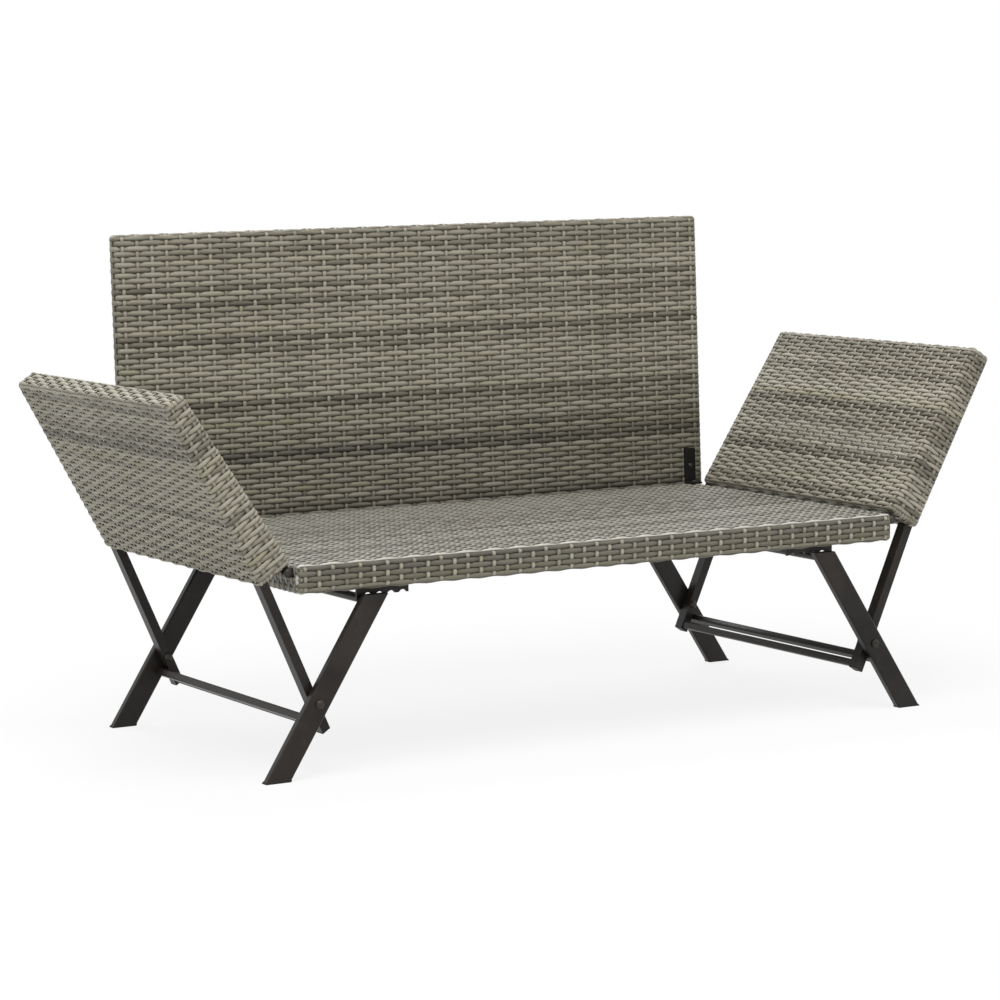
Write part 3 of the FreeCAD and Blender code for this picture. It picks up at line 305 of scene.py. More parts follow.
@dataclass
class Strands:
    """One set of strands around a panel, or over one of its faces.

    The panel is a rounded box. The strands run along its long axis, over its front, and are
    stacked along its third axis. Each field is an input of the tree with the same name. The
    crossings are counted over the front and at the near and far ends, and an odd set starts
    under its first crossing. The strands' middles lie deeper than the panel's face by the sink.
    In a rounding a share of the wave is left, and the strands lie deeper by the corner sink.
    The wedge is how much the thickness changes with each metre of height. The seed and the
    batch set one set's tones apart from another's.
    """

    strands: int
    places: int
    long: float
    thick: float
    stack: float
    crossings: int
    near_crossings: int
    far_crossings: int
    odd: int
    width: float
    wave: float
    long_axis: Vector
    front_axis: Vector
    stack_axis: Vector
    material: bpy.types.Material
    rear_run: float = 0.0
    rear_samples: int = 2
    open_ended: bool = False
    step: int = 1
    round: float = 7 * MM
    sink: float = 1.8 * MM
    corner_wave: float = 0.2
    corner_sink: float = 0.0
    thickness: float = 2.0 * MM
    tail: float = 5 * MM
    samples: int = 3
    corner_samples: int = 4
    wedge: float = 0.0
    wedge_thickness: float = 0.0
    seed: int = 1
    batch: float = 0.0

    SOCKETS = {int: "NodeSocketInt", float: "NodeSocketFloat", bool: "NodeSocketBool",
               Vector: "NodeSocketVector", bpy.types.Material: "NodeSocketMaterial"}


class StrandTree:
    """The Geometry Nodes tree that lays a set of strands.

    A strand's loop starts in the middle of the panel's rear, passes the near end, the front
    and the far end, and comes back. Its height is a wave with one half for each crossing.
    """

    PROFILE_POINTS = 6
    PROFILE_SPREAD = math.cos(math.pi / 6)
    WELD = 0.002 * MM

    def __init__(self, course: Course) -> None:
        """Build the tree.

        Args:
            course: how far round the panel its strands run.
        """
        self.course = course
        self.tree = bpy.data.node_groups.new("Strands_" + course.value, "GeometryNodeTree")
        self.maker = TreeMaker(self.tree)
        self.sockets = {}
        interface = self.tree.interface
        for item in fields(Strands):
            socket = interface.new_socket(name=item.name, in_out="INPUT",
                                          socket_type=Strands.SOCKETS[item.type])
            self.sockets[item.name] = socket.identifier
        interface.new_socket(name="Geometry", in_out="OUTPUT", socket_type="NodeSocketGeometry")
        entry = self.maker.node("NodeGroupInput")
        self.given = {item.name: Term(self.maker, entry.outputs[item.name])
                      for item in fields(Strands)}
        self._lay()

    def _marks(self) -> None:
        """Where the runs and the roundings of a loop begin and end."""
        given = self.given
        self.reach = given["long"] / 2 - given["round"]
        self.depth = given["thick"] / 2 - given["round"]
        arc = given["round"] * QUARTER_TURN
        self.arc = arc
        lengths = [self.reach, arc, 2 * self.depth, arc, 2 * self.reach,
                   arc, 2 * self.depth, arc, self.reach]
        self.marks = [0.0]
        for length in lengths:
            self.marks.append(length + self.marks[-1])

    def _pieces(self) -> tuple[Term, list[tuple[Number, Number]]]:
        """Where a strand starts, and the runs that it is made of.

        Returns:
            Its start on the loop, and its runs as pairs of length and number of samples.
        """
        given = self.given
        samples = given["samples"]
        corner = (self.arc, given["corner_samples"])
        front = (2 * self.reach, given["crossings"] * samples)
        if self.course is Course.FACE:
            tail = (given["tail"], 2)
            return self.marks[3] - given["tail"], [tail, corner, front, corner, tail]
        rear = (given["rear_run"], given["rear_samples"])
        near = (2 * self.depth, given["near_crossings"] * samples)
        far = (2 * self.depth, given["far_crossings"] * samples)
        return (self.reach - given["rear_run"],
                [rear, corner, near, corner, front, corner, far, corner, rear])

    def _run(self, along: Term, start: Number, end: Number) -> Term:
        """How much of one run lies behind a point of the loop."""
        return (along - start).between(0.0, end - start)

    def _phase(self, along: Term) -> Term:
        """How many strands a point of the loop has crossed.

        Args:
            along: the point's place on the loop.

        Returns:
            The count, nought where the near end begins.
        """
        given = self.given
        marks = self.marks
        edges = [0.0] + [marks[index] + self.arc / 2 for index in (1, 3, 5, 7)] + [marks[9]]
        counts = [given["crossings"] / 2, given["near_crossings"], given["crossings"],
                  given["far_crossings"], given["crossings"] / 2]
        phase = 0.0 - given["crossings"] / 2
        for start, end, count in zip(edges, edges[1:], counts):
            phase = phase + self._run(along, start, end) / (end - start) * count
        return phase

    def _calm(self, angle: Term) -> Term:
        """The share of the wave that is left where a rounding has turned by an angle."""
        least = self.given["corner_wave"]
        return least + (1.0 - least) * (1.0 - abs((2 * angle).sine()))

    def _point(self, along: Term, across: Term, height: Term, band: Term) -> Term:
        """Where a point of a straight strand lies on the panel.

        Args:
            along: its place on the loop.
            across: its place across the strand, in widths.
            height: its place through the strand, in thicknesses.
            band: its strand's number in the stack.

        Returns:
            The point, in the panel's own axes.
        """
        given, maker, marks = self.given, self.maker, self.marks
        rounding = given["round"]
        inner_x = (self._run(along, marks[4], marks[5]) - self._run(along, 0.0, marks[1])
                   - self._run(along, marks[8], marks[9]))
        inner_y = (self._run(along, marks[2], marks[3]) - self._run(along, marks[6], marks[7])
                   - self.depth)
        bent = (self._run(along, marks[1], marks[2]) + self._run(along, marks[3], marks[4])
                + self._run(along, marks[5], marks[6]) + self._run(along, marks[7], marks[8]))
        around = -QUARTER_TURN - bent / rounding
        span = given["stack"] - 2 * rounding + self.arc
        flat = given["stack"] / 2 - rounding
        place = (band + 0.5) * span / given["places"] - span / 2 + across * given["width"]
        inner_z = place.between(-flat, flat)
        over = (place - inner_z) / rounding
        lift = ((self._phase(along) + band + given["odd"]) * HALF_TURN).sine()
        calm = self._calm(around) * self._calm(over)
        rise = lift * given["wave"] * calm - given["sink"] - (1.0 - calm) * given["corner_sink"]
        if self.course is Course.FACE:
            tails = ((marks[3] - along).between(0.0, given["tail"])
                     + (along - marks[6]).between(0.0, given["tail"]))
            rise = rise - tails / given["tail"] * given["thickness"]
        out = rounding + rise + height * given["thickness"]
        side = over.cosine() * out
        spot = maker.summed(
            maker.scaled(given["long_axis"], inner_x + around.cosine() * side),
            maker.scaled(given["front_axis"], inner_y + around.sine() * side),
            maker.scaled(given["stack_axis"], inner_z + over.sine() * out))
        x, y, z = maker.parts(spot)
        half = given["wedge_thickness"] / 2
        return maker.vector(x, half - (half - y) * (1 + given["wedge"] * z), z)

    def _store(self, geometry: bpy.types.NodeSocket, name: str, value: Any,
               kind: str = "FLOAT") -> bpy.types.NodeSocket:
        """Keep a value on every point under a name.

        Args:
            geometry: what the points belong to.
            name: the attribute's name.
            value: the value or Term to keep.
            kind: the attribute's data type.

        Returns:
            The geometry with its attribute.
        """
        return self.maker.node("GeometryNodeStoreNamedAttribute",
                               {"data_type": kind, "domain": "POINT"},
                               {"Geometry": geometry, "Name": name, "Value": value}).outputs[0]

    def _named(self, name: str, kind: str = "FLOAT") -> Term:
        """A value that was kept under a name."""
        return self.maker.term("GeometryNodeInputNamedAttribute", {"data_type": kind},
                               {"Name": name})

    def _lay(self) -> None:
        """Make the strands straight, then bend each point to its place."""
        maker, given = self.maker, self.given
        self._marks()
        begin, pieces = self._pieces()
        total = sum((samples for _, samples in pieces[1:]), pieces[0][1])
        line = maker.node("GeometryNodeCurvePrimitiveLine",
                          inputs={"Start": (0.0, 0.0, 0.0), "End": (1.0, 0.0, 0.0)})
        points = maker.node("GeometryNodeResampleCurve",
                            inputs={"Curve": line.outputs[0], "Count": total + 1})
        way, _, _ = maker.parts(maker.term("GeometryNodeInputPosition"))
        ring = maker.node("GeometryNodeCurvePrimitiveCircle",
                          inputs={"Resolution": self.PROFILE_POINTS, "Radius": 0.5})
        position = maker.term("GeometryNodeInputPosition")
        profile = self._store(ring.outputs[0], "cut", position, "FLOAT_VECTOR")
        strand = maker.node("GeometryNodeCurveToMesh",
                            inputs={"Curve": self._store(points.outputs[0], "way", way),
                                    "Profile Curve": profile, "Fill Caps": given["open_ended"]})
        starts = maker.node("GeometryNodeMeshLine", inputs={"Count": given["strands"]})
        index = maker.term("GeometryNodeInputIndex")
        bands = self._store(starts.outputs[0], "band", given["step"] * index)
        copies = maker.node("GeometryNodeInstanceOnPoints",
                            inputs={"Points": bands, "Instance": strand.outputs[0]})
        straight = maker.node("GeometryNodeRealizeInstances",
                              inputs={"Geometry": copies.outputs[0]})
        band = self._named("band")
        step = self._named("way") * total
        along, passed = begin, 0.0
        for length, samples in pieces:
            along = along + (step - passed).between(0.0, samples) * (length / samples)
            passed = samples + passed
        height, across, _ = maker.parts(self._named("cut", "FLOAT_VECTOR"))
        across = across / self.PROFILE_SPREAD
        chance = maker.term("FunctionNodeRandomValue", {"data_type": "FLOAT"},
                            {"ID": band, "Seed": given["seed"]}, 1)
        shape = self._store(straight.outputs[0], "strand",
                            maker.vector(along, across, band), "FLOAT_VECTOR")
        shape = self._store(shape, "chance", chance)
        shape = self._store(shape, "batch", given["batch"])
        bent = maker.node("GeometryNodeSetPosition",
                          inputs={"Geometry": shape,
                                  "Position": self._point(along, across, height, band)})
        closed = maker.node("GeometryNodeMergeByDistance",
                            inputs={"Geometry": bent.outputs[0], "Distance": self.WELD})
        smooth = maker.node("GeometryNodeSetShadeSmooth",
                            inputs={"Geometry": closed.outputs[0]})
        shape = smooth.outputs[0]
        for name in ("way", "cut", "band"):
            shape = maker.node("GeometryNodeRemoveAttribute",
                               inputs={"Geometry": shape, "Name": name}).outputs[0]
        real = maker.node("GeometryNodeRealizeInstances", inputs={"Geometry": shape})
        dressed = maker.node("GeometryNodeSetMaterial",
                             inputs={"Geometry": real.outputs[0], "Material": given["material"]})
        maker.node("NodeGroupOutput", inputs={"Geometry": dressed.outputs[0]})

    def weave(self, name: str, settings: Strands) -> bpy.types.Object:
        """Lay one set of strands.

        Args:
            name: the new object's name.
            settings: the set's numbers.

        Returns:
            The strands as one plain mesh, in the panel's own axes.
        """
        source = bpy.data.objects.new(name, bpy.data.meshes.new(name))
        bpy.context.scene.collection.objects.link(source)
        modifier = source.modifiers.new("Strands", "NODES")
        modifier.node_group = self.tree
        for item in fields(Strands):
            value = getattr(settings, item.name)
            modifier[self.sockets[item.name]] = list(value) if item.type is Vector else value
        graph = bpy.context.evaluated_depsgraph_get()
        mesh = bpy.data.meshes.new_from_object(source.evaluated_get(graph))
        source.modifiers.remove(modifier)
        source.data = mesh
        return source


@dataclass(frozen=True)
class WickerFinish:
    """Flat strands of woven plastic in mixed greys, with fine grooves along them.

    A strand's tone is the sum of shares of four patterns, and a ramp gives it a colour. One row
    may be lighter; on the seat's top it is a painted highlight along the front edge. The shade
    darkens grooves, darkens the strands' edges as painted shade in the gaps between them, and may
    darken a panel towards its foot as painted shade.
    A pitch is how fast a pattern changes along a strand, across it and from strand to strand.
    """

    name: str
    dark: Chart = (78, 73, 61)
    middle: Chart = (116, 110, 95)
    light: Chart = (158, 153, 137)
    straw: Chart = (142, 137, 113)
    stops: tuple[float, ...] = (0.25, 0.42, 0.58, 0.74)
    band_scale: float = 0.31
    chance_scale: float = 0.2
    drift_pitch: tuple[float, float] = (2.2, 3.7)
    streak_pitch: tuple[float, float] = (16.0, 5.3)
    groove_pitch: tuple[float, float, float] = (14.0, 11.0, 5.1)
    base_tone: float = 0.175
    band_share: float = 0.85
    chance_share: float = 0.15
    drift_share: float = 0.32
    streak_share: float = 0.24
    base_shade: float = 0.84
    groove_shade: float = 0.34
    edge_shade: float = 0.42
    edge_power: float = 3.0
    groove_bump: float = 0.35
    groove_depth: float = 0.4 * MM
    groove_gloss: float = 0.22
    roughness: float = 0.62
    light_row: int = NO_ROW
    light_share: float = 0.7
    light_colour: Chart = (206, 204, 194)
    low_shade: float = 0.0
    low_top: float = 0.54
    low_spread: float = 0.105

    def make(self) -> bpy.types.Material:
        """Build the finish.

        Returns:
            Its material.
        """
        material, maker, shader = new_material(self.name)
        strand = maker.term("ShaderNodeAttribute", {"attribute_name": "strand"}, output="Vector")
        chance = maker.term("ShaderNodeAttribute", {"attribute_name": "chance"}, output="Fac")
        batch = maker.term("ShaderNodeAttribute", {"attribute_name": "batch"}, output="Fac")
        along, across, band = maker.parts(strand)
        spots = [maker.vector(band * self.band_scale, chance * self.chance_scale, batch)]
        spots += [maker.vector(along * run, band * step, batch)
                  for run, step in (self.drift_pitch, self.streak_pitch)]
        bands, drift, streaks = (maker.noise(spot, scale=1.0, detail=1.0) for spot in spots)
        tone = ((bands - 0.5) * self.band_share + chance * self.chance_share
                + drift * self.drift_share + streaks * self.streak_share + self.base_tone)
        colours = map(paint, (self.dark, self.middle, self.light, self.straw))
        colour = maker.term("ShaderNodeValToRGB", {"stops": zip(self.stops, colours)}, {0: tone})
        # One row is mixed towards a lighter colour; on the seat's top this is a painted highlight along the front
        # edge.
        lit = 1 - abs(band - self.light_row).above(0.5)
        colour = maker.mixed(lit * self.light_share, colour, paint(self.light_colour))
        run, spread, step = self.groove_pitch
        grooves = maker.noise(maker.vector(along * run, across * spread, band * step),
                              scale=1.0, detail=3.0, roughness=0.6)
        # Painted shade: each strand's edges are darkened, standing for the shadow in the gaps between strands.
        edge = (abs(across) * 2).power(self.edge_power)
        shade = self.base_shade + grooves * self.groove_shade - edge * self.edge_shade
        # Painted shade: below low_top the colour darkens over low_spread, standing for the shade on a panel's
        # lower part.
        if self.low_shade:
            _, _, level = maker.parts(maker.term("ShaderNodeTexCoord", output="Object"))
            low = ((self.low_top - level) / self.low_spread).between(0.0, 1.0)
            shade = shade * (1 - low * self.low_shade)
        colour = maker.mixed(1.0, colour, maker.vector(shade, shade, shade), "MULTIPLY")
        maker.feed(shader.inputs["Base Color"], colour)
        maker.feed(shader.inputs["Roughness"], self.roughness - grooves * self.groove_gloss)
        maker.feed(shader.inputs["Normal"], maker.bump(grooves, self.groove_bump,
                                                       self.groove_depth))
        return material


@dataclass(frozen=True)
class CoatFinish:
    """A coat or moulding with a fine grain, faint clouds and rubbed patches."""

    name: str
    colour: Chart
    worn: Chart
    roughness: float
    grain: float
    grain_scale: float
    metallic: float = 0.0
    shine: float = 0.5
    grain_depth: float = 0.2 * MM
    cloud_scale: float = 7.0
    cloud_start: float = 0.3
    cloud_gain: float = 1.6
    cloud_most: float = 0.75
    cloud_dullness: float = 0.26
    cloud_gloss: float = 0.12
    rub_scale: float = 38.0
    rub_start: float = 0.56
    rub_gain: float = 6.0
    rub_share: float = 0.3
    rub_gloss: float = 0.05

    def make(self) -> bpy.types.Material:
        """Build the finish.

        Returns:
            Its material.
        """
        material, maker, shader = new_material(self.name)
        place = maker.term("ShaderNodeTexCoord", output="Object")
        cloud = maker.noise(place, self.cloud_scale, detail=3.0, roughness=0.6)
        rub = maker.noise(place, self.rub_scale, detail=4.0, roughness=0.7)
        rubbed = ((rub - self.rub_start) * self.rub_gain).between(0.0, 1.0)
        # The clouds mix the coat towards the lighter colour: partly uneven tone, partly painted sheen; the rubbed
        # patches are wear.
        uneven_tone_and_sheen = ((cloud - self.cloud_start) * self.cloud_gain).between(0.0, self.cloud_most)
        colour = maker.mixed(rubbed * self.rub_share + uneven_tone_and_sheen, paint(self.colour),
                             paint(self.worn))
        roughness = (self.roughness - self.cloud_gloss + cloud * self.cloud_dullness
                     - rubbed * self.rub_gloss)
        maker.feed(shader.inputs["Base Color"], colour)
        maker.feed(shader.inputs["Roughness"], roughness)
        maker.feed(shader.inputs["Metallic"], self.metallic)
        maker.feed(shader.inputs["Specular IOR Level"], self.shine)
        grain = maker.noise(place, self.grain_scale)
        maker.feed(shader.inputs["Normal"], maker.bump(grain, self.grain, self.grain_depth))
        return material


def new_material(name: str) -> tuple[bpy.types.Material, TreeMaker, bpy.types.Node]:
    """A material with its own tree and one Principled shader.

    Args:
        name: the material's name.

    Returns:
        The material, its tree's maker and its shader.
    """
    material = bpy.data.materials.new(name)
    material.use_nodes = True
    material.node_tree.nodes.clear()
    maker = TreeMaker(material.node_tree)
    shader = maker.node("ShaderNodeBsdfPrincipled")
    maker.node("ShaderNodeOutputMaterial", inputs={"Surface": shader.outputs[0]})
    return material, maker, shader


class Finishes:
    """Every finish of the bench, made once."""

    def __init__(self) -> None:
        """Make the materials."""
        self.rows = WickerFinish("Wicker_rows", band_share=0.6).make()
        # The stakes are lighter than the rows: partly their own tone, partly a painted highlight on the raised
        # ticks.
        self.stakes = WickerFinish("Wicker_stakes", (110, 106, 90), (138, 134, 117),
                                   (162, 158, 142), (148, 144, 121), band_scale=0.9).make()
        self.end_stakes = WickerFinish("Wicker_end_stakes", (84, 80, 68), (116, 111, 96),
                                       (140, 136, 120), (128, 124, 103), band_scale=0.9).make()
        # The seat's rows are cooler and greyer than the others, a painted reflection of the pale surroundings on
        # the seat's top; their last row is a painted highlight along the seat's front edge.
        self.seat_rows = WickerFinish("Wicker_seat_rows", (84, 81, 74), (117, 114, 104),
                                      (154, 152, 143), (137, 134, 121), roughness=0.5,
                                      light_row=SeatPanel.rows - 1).make()
        self.seat_edge = WickerFinish("Wicker_seat_edge", (46, 43, 35), (71, 67, 57),
                                      (104, 100, 87), (95, 91, 73),
                                      light_row=SeatPanel.edge_rows - 1,
                                      light_colour=(118, 115, 97)).make()
        # The back's rows and stakes darken towards its foot: painted shade where the seat and the wings shade the
        # lower back.
        self.back_rows = WickerFinish("Wicker_back_rows", (68, 64, 53), (106, 101, 86),
                                      (148, 143, 127), (132, 127, 104), low_shade=0.26).make()
        self.back_stakes = WickerFinish("Wicker_back_stakes", (106, 102, 86), (134, 130, 113),
                                        (160, 156, 140), (146, 142, 118), band_scale=0.9,
                                        low_shade=0.42).make()
        self.by_slot = {
            Slot.STEEL.value: CoatFinish("Powder_coat", (21, 18, 16), (56, 50, 45),
                                         roughness=0.32, grain=0.3, grain_scale=900.0,
                                         shine=0.24).make(),
            Slot.FASTENER.value: CoatFinish("Dark_zinc", (44, 40, 36), (84, 79, 72),
                                            roughness=0.42, grain=0.2, grain_scale=1500.0,
                                            metallic=0.6, shine=0.3).make(),
            Slot.PLASTIC.value: CoatFinish("Black_moulding", (24, 22, 21), (40, 38, 36),
                                           roughness=0.55, grain=0.5, grain_scale=1200.0,
                                           shine=0.25).make(),
            Slot.WICKER.value: self.rows}
        bracket = CoatFinish("Bracket_coat", (11, 10, 10), (30, 28, 26), roughness=0.34,
                             grain=0.3, grain_scale=900.0, shine=0.3).make()
        self.by_node = {"back_bracket_left": bracket, "back_bracket_right": bracket}

    def dress_frame(self) -> None:
        """Give every node of the frame its own finish, or that of its slot."""
        for part in FRAME["record"]["subparts"]:
            node = FRAME["nodes"][part["node"]]
            finish = self.by_node.get(part["node"], self.by_slot[part["material_slot"]])
            for slot in node.material_slots:
                slot.material = finish
            LOG.info("%s has the finish %s", node.name, finish.name)


@dataclass
class WovenPanel:
    """A woven skin: a rounded panel covered by crossing rows and stakes.

    Rows run along the panel's X, its Y points to the front, and the rows are stacked along Z.
    The edges at low and high Z are covered by rows of their own, and the ends by stakes. A lip
    is how far the skin is turned under a panel that is open at the rear, and a wedge how much
    its thickness changes with its height. A finish that is left out is the common one.
    """

    name: str
    node: str
    body: str
    size: Vector
    place: Matrix
    rows: int
    stakes: int
    low_edge_rows: int
    high_edge_rows: int
    end_stakes: int
    finishes: Finishes
    trees: dict[Course, StrandTree]
    lip: float = 0.0
    wedge: float = 0.0
    row_finish: bpy.types.Material | None = None
    stake_finish: bpy.types.Material | None = None
    edge_finish: bpy.types.Material | None = None
    batch: float = 0.0
    stake_width: float = 6.5 * MM
    row_gap: float = 0.6 * MM
    row_wave: float = 1.4 * MM
    stake_wave: float = 1.1 * MM
    stake_corner_sink: float = 1.1 * MM
    rounding: float = 7 * MM
    seed_step: int = 10
    pieces: list[bpy.types.Object] = field(default_factory=list)

    def _pitch(self, extent: float, count: int) -> float:
        """From strand to strand, over a flat face and half of each rounding beside it."""
        return (extent - 2 * self.rounding + self.rounding * QUARTER_TURN) / count

    def _strands(self, count: int, dims: tuple[float, float, float],
                 axes: tuple[str, str, str], crossings: tuple[int, int, int], odd: int,
                 stake: bool) -> Strands:
        """The numbers of one set of strands.

        Args:
            count: how many strands lie side by side.
            dims: the panel along the strands, from front to rear, and across the strands.
            axes: the panel's axes for those three, with their signs.
            crossings: how many strands it crosses over the front and at either end.
            odd: one to start under instead of over.
            stake: whether they are stakes.

        Returns:
            The set.
        """
        long, thick, stack = dims
        spots = {"X": Vector((1, 0, 0)), "Y": Vector((0, 1, 0)), "Z": Vector((0, 0, 1))}
        turned = [spots[axis[-1]] * (-1 if axis[0] == "-" else 1) for axis in axes]
        pitch = self._pitch(stack, count)
        width = min(self.stake_width, pitch - self.row_gap) if stake else pitch - self.row_gap
        over, near, far = crossings
        made = Strands(
            strands=count, places=count, long=long, thick=thick, stack=stack, crossings=over,
            near_crossings=near, far_crossings=far, odd=odd % 2, width=width,
            wave=self.stake_wave if stake else self.row_wave,
            corner_sink=self.stake_corner_sink if stake else 0.0,
            long_axis=turned[0], front_axis=turned[1], stack_axis=turned[2],
            material=self.finishes.stakes if stake else self.finishes.rows,
            rear_run=long / 2 - self.rounding, rear_samples=math.ceil(over * Strands.samples / 2),
            round=self.rounding, wedge=self.wedge, wedge_thickness=self.size.y)
        if self.lip:
            made.rear_run = self.lip - self.rounding
            made.rear_samples = Strands.rear_samples
            made.open_ended = True
        return made

    def _add(self, name: str, sets: list[tuple[Course, Strands]]) -> None:
        """Weave sets of strands, join them, and put them in place on the frame.

        Args:
            name: the piece's name after the panel's.
            sets: the course and the numbers of each set.
        """
        made = []
        for index, (course, strands) in enumerate(sets):
            strands.seed = len(self.pieces) * self.seed_step + index + 1
            strands.batch = self.batch
            strands.open_ended = strands.open_ended or course is Course.FACE
            made.append(self.trees[course].weave("%s_%s_%d" % (self.name, name, index), strands))
        piece = made[0]
        if len(made) > 1:
            with bpy.context.temp_override(active_object=piece, object=piece,
                                           selected_editable_objects=made,
                                           selected_objects=made):
                bpy.ops.object.join()
        piece.name = "%s_%s" % (self.name, name)
        piece.data.name = piece.name
        piece.data.transform(self.place)
        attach(piece, self.body)
        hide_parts(self.node)
        self.pieces.append(piece)
        LOG.info("%s: %d faces", piece.name, len(piece.data.polygons))

    def build(self) -> list[bpy.types.Object]:
        """Weave the whole panel.

        Returns:
            Its pieces.
        """
        long, thick, stack = self.size
        low, high, ends = self.low_edge_rows, self.high_edge_rows, self.end_stakes
        rows = self._strands(self.rows, (long, thick, stack), ("X", "Y", "Z"),
                             (self.stakes, ends, ends), 0, False)
        rows.material = self.row_finish or rows.material
        self._add("rows", [(Course.AROUND, rows)])
        stakes = self._strands(self.stakes, (stack, thick, long), ("Z", "Y", "-X"),
                               (self.rows, low, high), 1, True)
        stakes.material = self.stake_finish or stakes.material
        self._add("stakes", [(Course.AROUND, stakes)])
        edge_sets = [
            (Course.FACE, self._strands(low, (long, stack, thick), ("X", "-Z", "Y"),
                                        (self.stakes, 0, 0), self.stakes + 1, False)),
            (Course.FACE, self._strands(high, (long, stack, thick), ("X", "Z", "-Y"),
                                        (self.stakes, 0, 0),
                                        self.stakes + low + self.rows + 1, False))]
        edge = self.edge_finish or self.finishes.rows
        self._add("edge_rows", [(course, replace(strands, material=edge))
                                for course, strands in edge_sets + self._lip_sets()])
        end_sets = [
            (Course.FACE, self._strands(ends, (stack, long, thick), ("Z", "-X", "-Y"),
                                        (self.rows, 0, 0), ends, True)),
            (Course.FACE, self._strands(ends, (stack, long, thick), ("Z", "X", "Y"),
                                        (self.rows, 0, 0), self.stakes, True))]
        self._add("end_stakes", [(course, replace(strands, material=self.finishes.end_stakes))
                                 for course, strands in end_sets])
        return self.pieces

    def _lip_sets(self) -> list[tuple[Course, Strands]]:
        """The rows that are turned under the edges of an open panel.

        Returns:
            Their set, or nothing on a closed panel.
        """
        if not self.lip:
            return []
        long, thick, stack = self.size
        lip = self._strands(self.rows, (long - self.lip, thick, stack), ("-X", "-Y", "Z"),
                            (self.stakes, 0, 0), 0, False)
        return [(Course.FACE, replace(lip, strands=2, step=self.rows - 1))]


@dataclass
class SeatPanel:
    """The seat's woven skin, open underneath inside its turned edge."""

    rows: int = 66
    stakes: int = 47
    edge_rows: int = 5
    end_stakes: int = 3
    lip: float = 11 * MM
    row_wave: float = 1.1 * MM
    batch: float = 2.5

    def panel(self, finishes: Finishes, trees: dict[Course, StrandTree]) -> WovenPanel:
        """The panel, placed by the frame's own node.

        Args:
            finishes: the bench's finishes.
            trees: the tree of each course.

        Returns:
            The panel, ready to build.
        """
        low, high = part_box("seat_weave")
        span = high - low
        place = Matrix.Translation((low + high) / 2) @ Matrix.Rotation(QUARTER_TURN, 4, "X")
        return WovenPanel("seat", "seat_weave", "seat", Vector((span.x, span.z, span.y)), place,
                          self.rows, self.stakes, self.edge_rows, self.edge_rows,
                          self.end_stakes, finishes, trees, lip=self.lip,
                          row_finish=finishes.seat_rows, edge_finish=finishes.seat_edge,
                          row_wave=self.row_wave, batch=self.batch)


@dataclass
class BackPanel:
    """The back's woven skin, leaning a little."""

    height: float = 480 * MM
    thickness: float = 26 * MM
    lean: float = math.radians(2.3)
    rows: int = 55
    stakes: int = 43
    edge_rows: int = 3
    end_stakes: int = 1
    row_gap: float = 0.1 * MM
    batch: float = 6.0

    def panel(self, finishes: Finishes, trees: dict[Course, StrandTree]) -> WovenPanel:
        """The panel, placed by the frame's own node.

        Args:
            finishes: the bench's finishes.
            trees: the tree of each course.

        Returns:
            The panel, ready to build.
        """
        low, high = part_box("back_weave")
        place = (Matrix.Translation((low + high) / 2) @ Matrix.Rotation(-self.lean, 4, "X")
                 @ Matrix.Rotation(HALF_TURN, 4, "Z"))
        size = Vector((high.x - low.x, self.thickness, self.height))
        return WovenPanel("back", "back_weave", "seat", size, place, self.rows, self.stakes,
                          self.edge_rows, self.edge_rows, self.end_stakes, finishes, trees,
                          row_gap=self.row_gap, row_finish=finishes.back_rows,
                          stake_finish=finishes.back_stakes, batch=self.batch)


@dataclass
class WingPanel:
    """A wing's woven skin: a wedge on the wing's pin, thick at the seat."""

    side: Side
    start: float = 10 * MM
    length: float = 322 * MM
    base: float = 63 * MM
    tip: float = 36.5 * MM
    drop: float = 12 * MM
    tilt: float = math.radians(56.7)
    rows: int = 44
    stakes: int = 24
    near_rows: int = 9
    far_rows: int = 5
    end_stakes: int = 2
    row_gap: float = 0.5 * MM
    row_wave: float = 1.5 * MM
    batch: float = 4.3

    def _pin(self) -> Vector:
        """The wing's pin, from the frame's joint.

        Returns:
            Its place at rest.
        """
        name = "wing_%s_fold" % self.side.word
        joint = next(item for item in FRAME["joints"] if item["name"] == name)
        return Vector(joint["pos_m"])

    def panel(self, finishes: Finishes, trees: dict[Course, StrandTree]) -> WovenPanel:
        """The panel, placed from the pin by the wing's own sizes.

        Args:
            finishes: the bench's finishes.
            trees: the tree of each course.

        Returns:
            The panel, ready to build.
        """
        sign = self.side.value
        low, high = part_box("wing_weave_" + self.side.word)
        slope = self.length - self.start
        middle = (self.base + self.tip) / 2
        along = Vector((sign * math.cos(self.tilt), 0, math.sin(self.tilt)))
        inward = Vector((-sign * math.sin(self.tilt), 0, math.cos(self.tilt)))
        across = Vector((0, sign, 0))
        centre = (self._pin() + along * (self.start + self.length) / 2
                  + inward * (self.drop - middle / 2))
        centre.y = (low.y + high.y) / 2
        place = Matrix.Translation(centre) @ Matrix((across, inward, along)).transposed().to_4x4()
        wedge = (self.tip - self.base) / (middle * slope)
        name = "wing_" + self.side.word
        return WovenPanel(name, "wing_weave_" + self.side.word, name,
                          Vector((high.y - low.y, middle, slope)), place, self.rows, self.stakes,
                          self.near_rows, self.far_rows, self.end_stakes, finishes, trees,
                          wedge=wedge, row_gap=self.row_gap, row_wave=self.row_wave,
                          batch=self.batch * self.side.value)


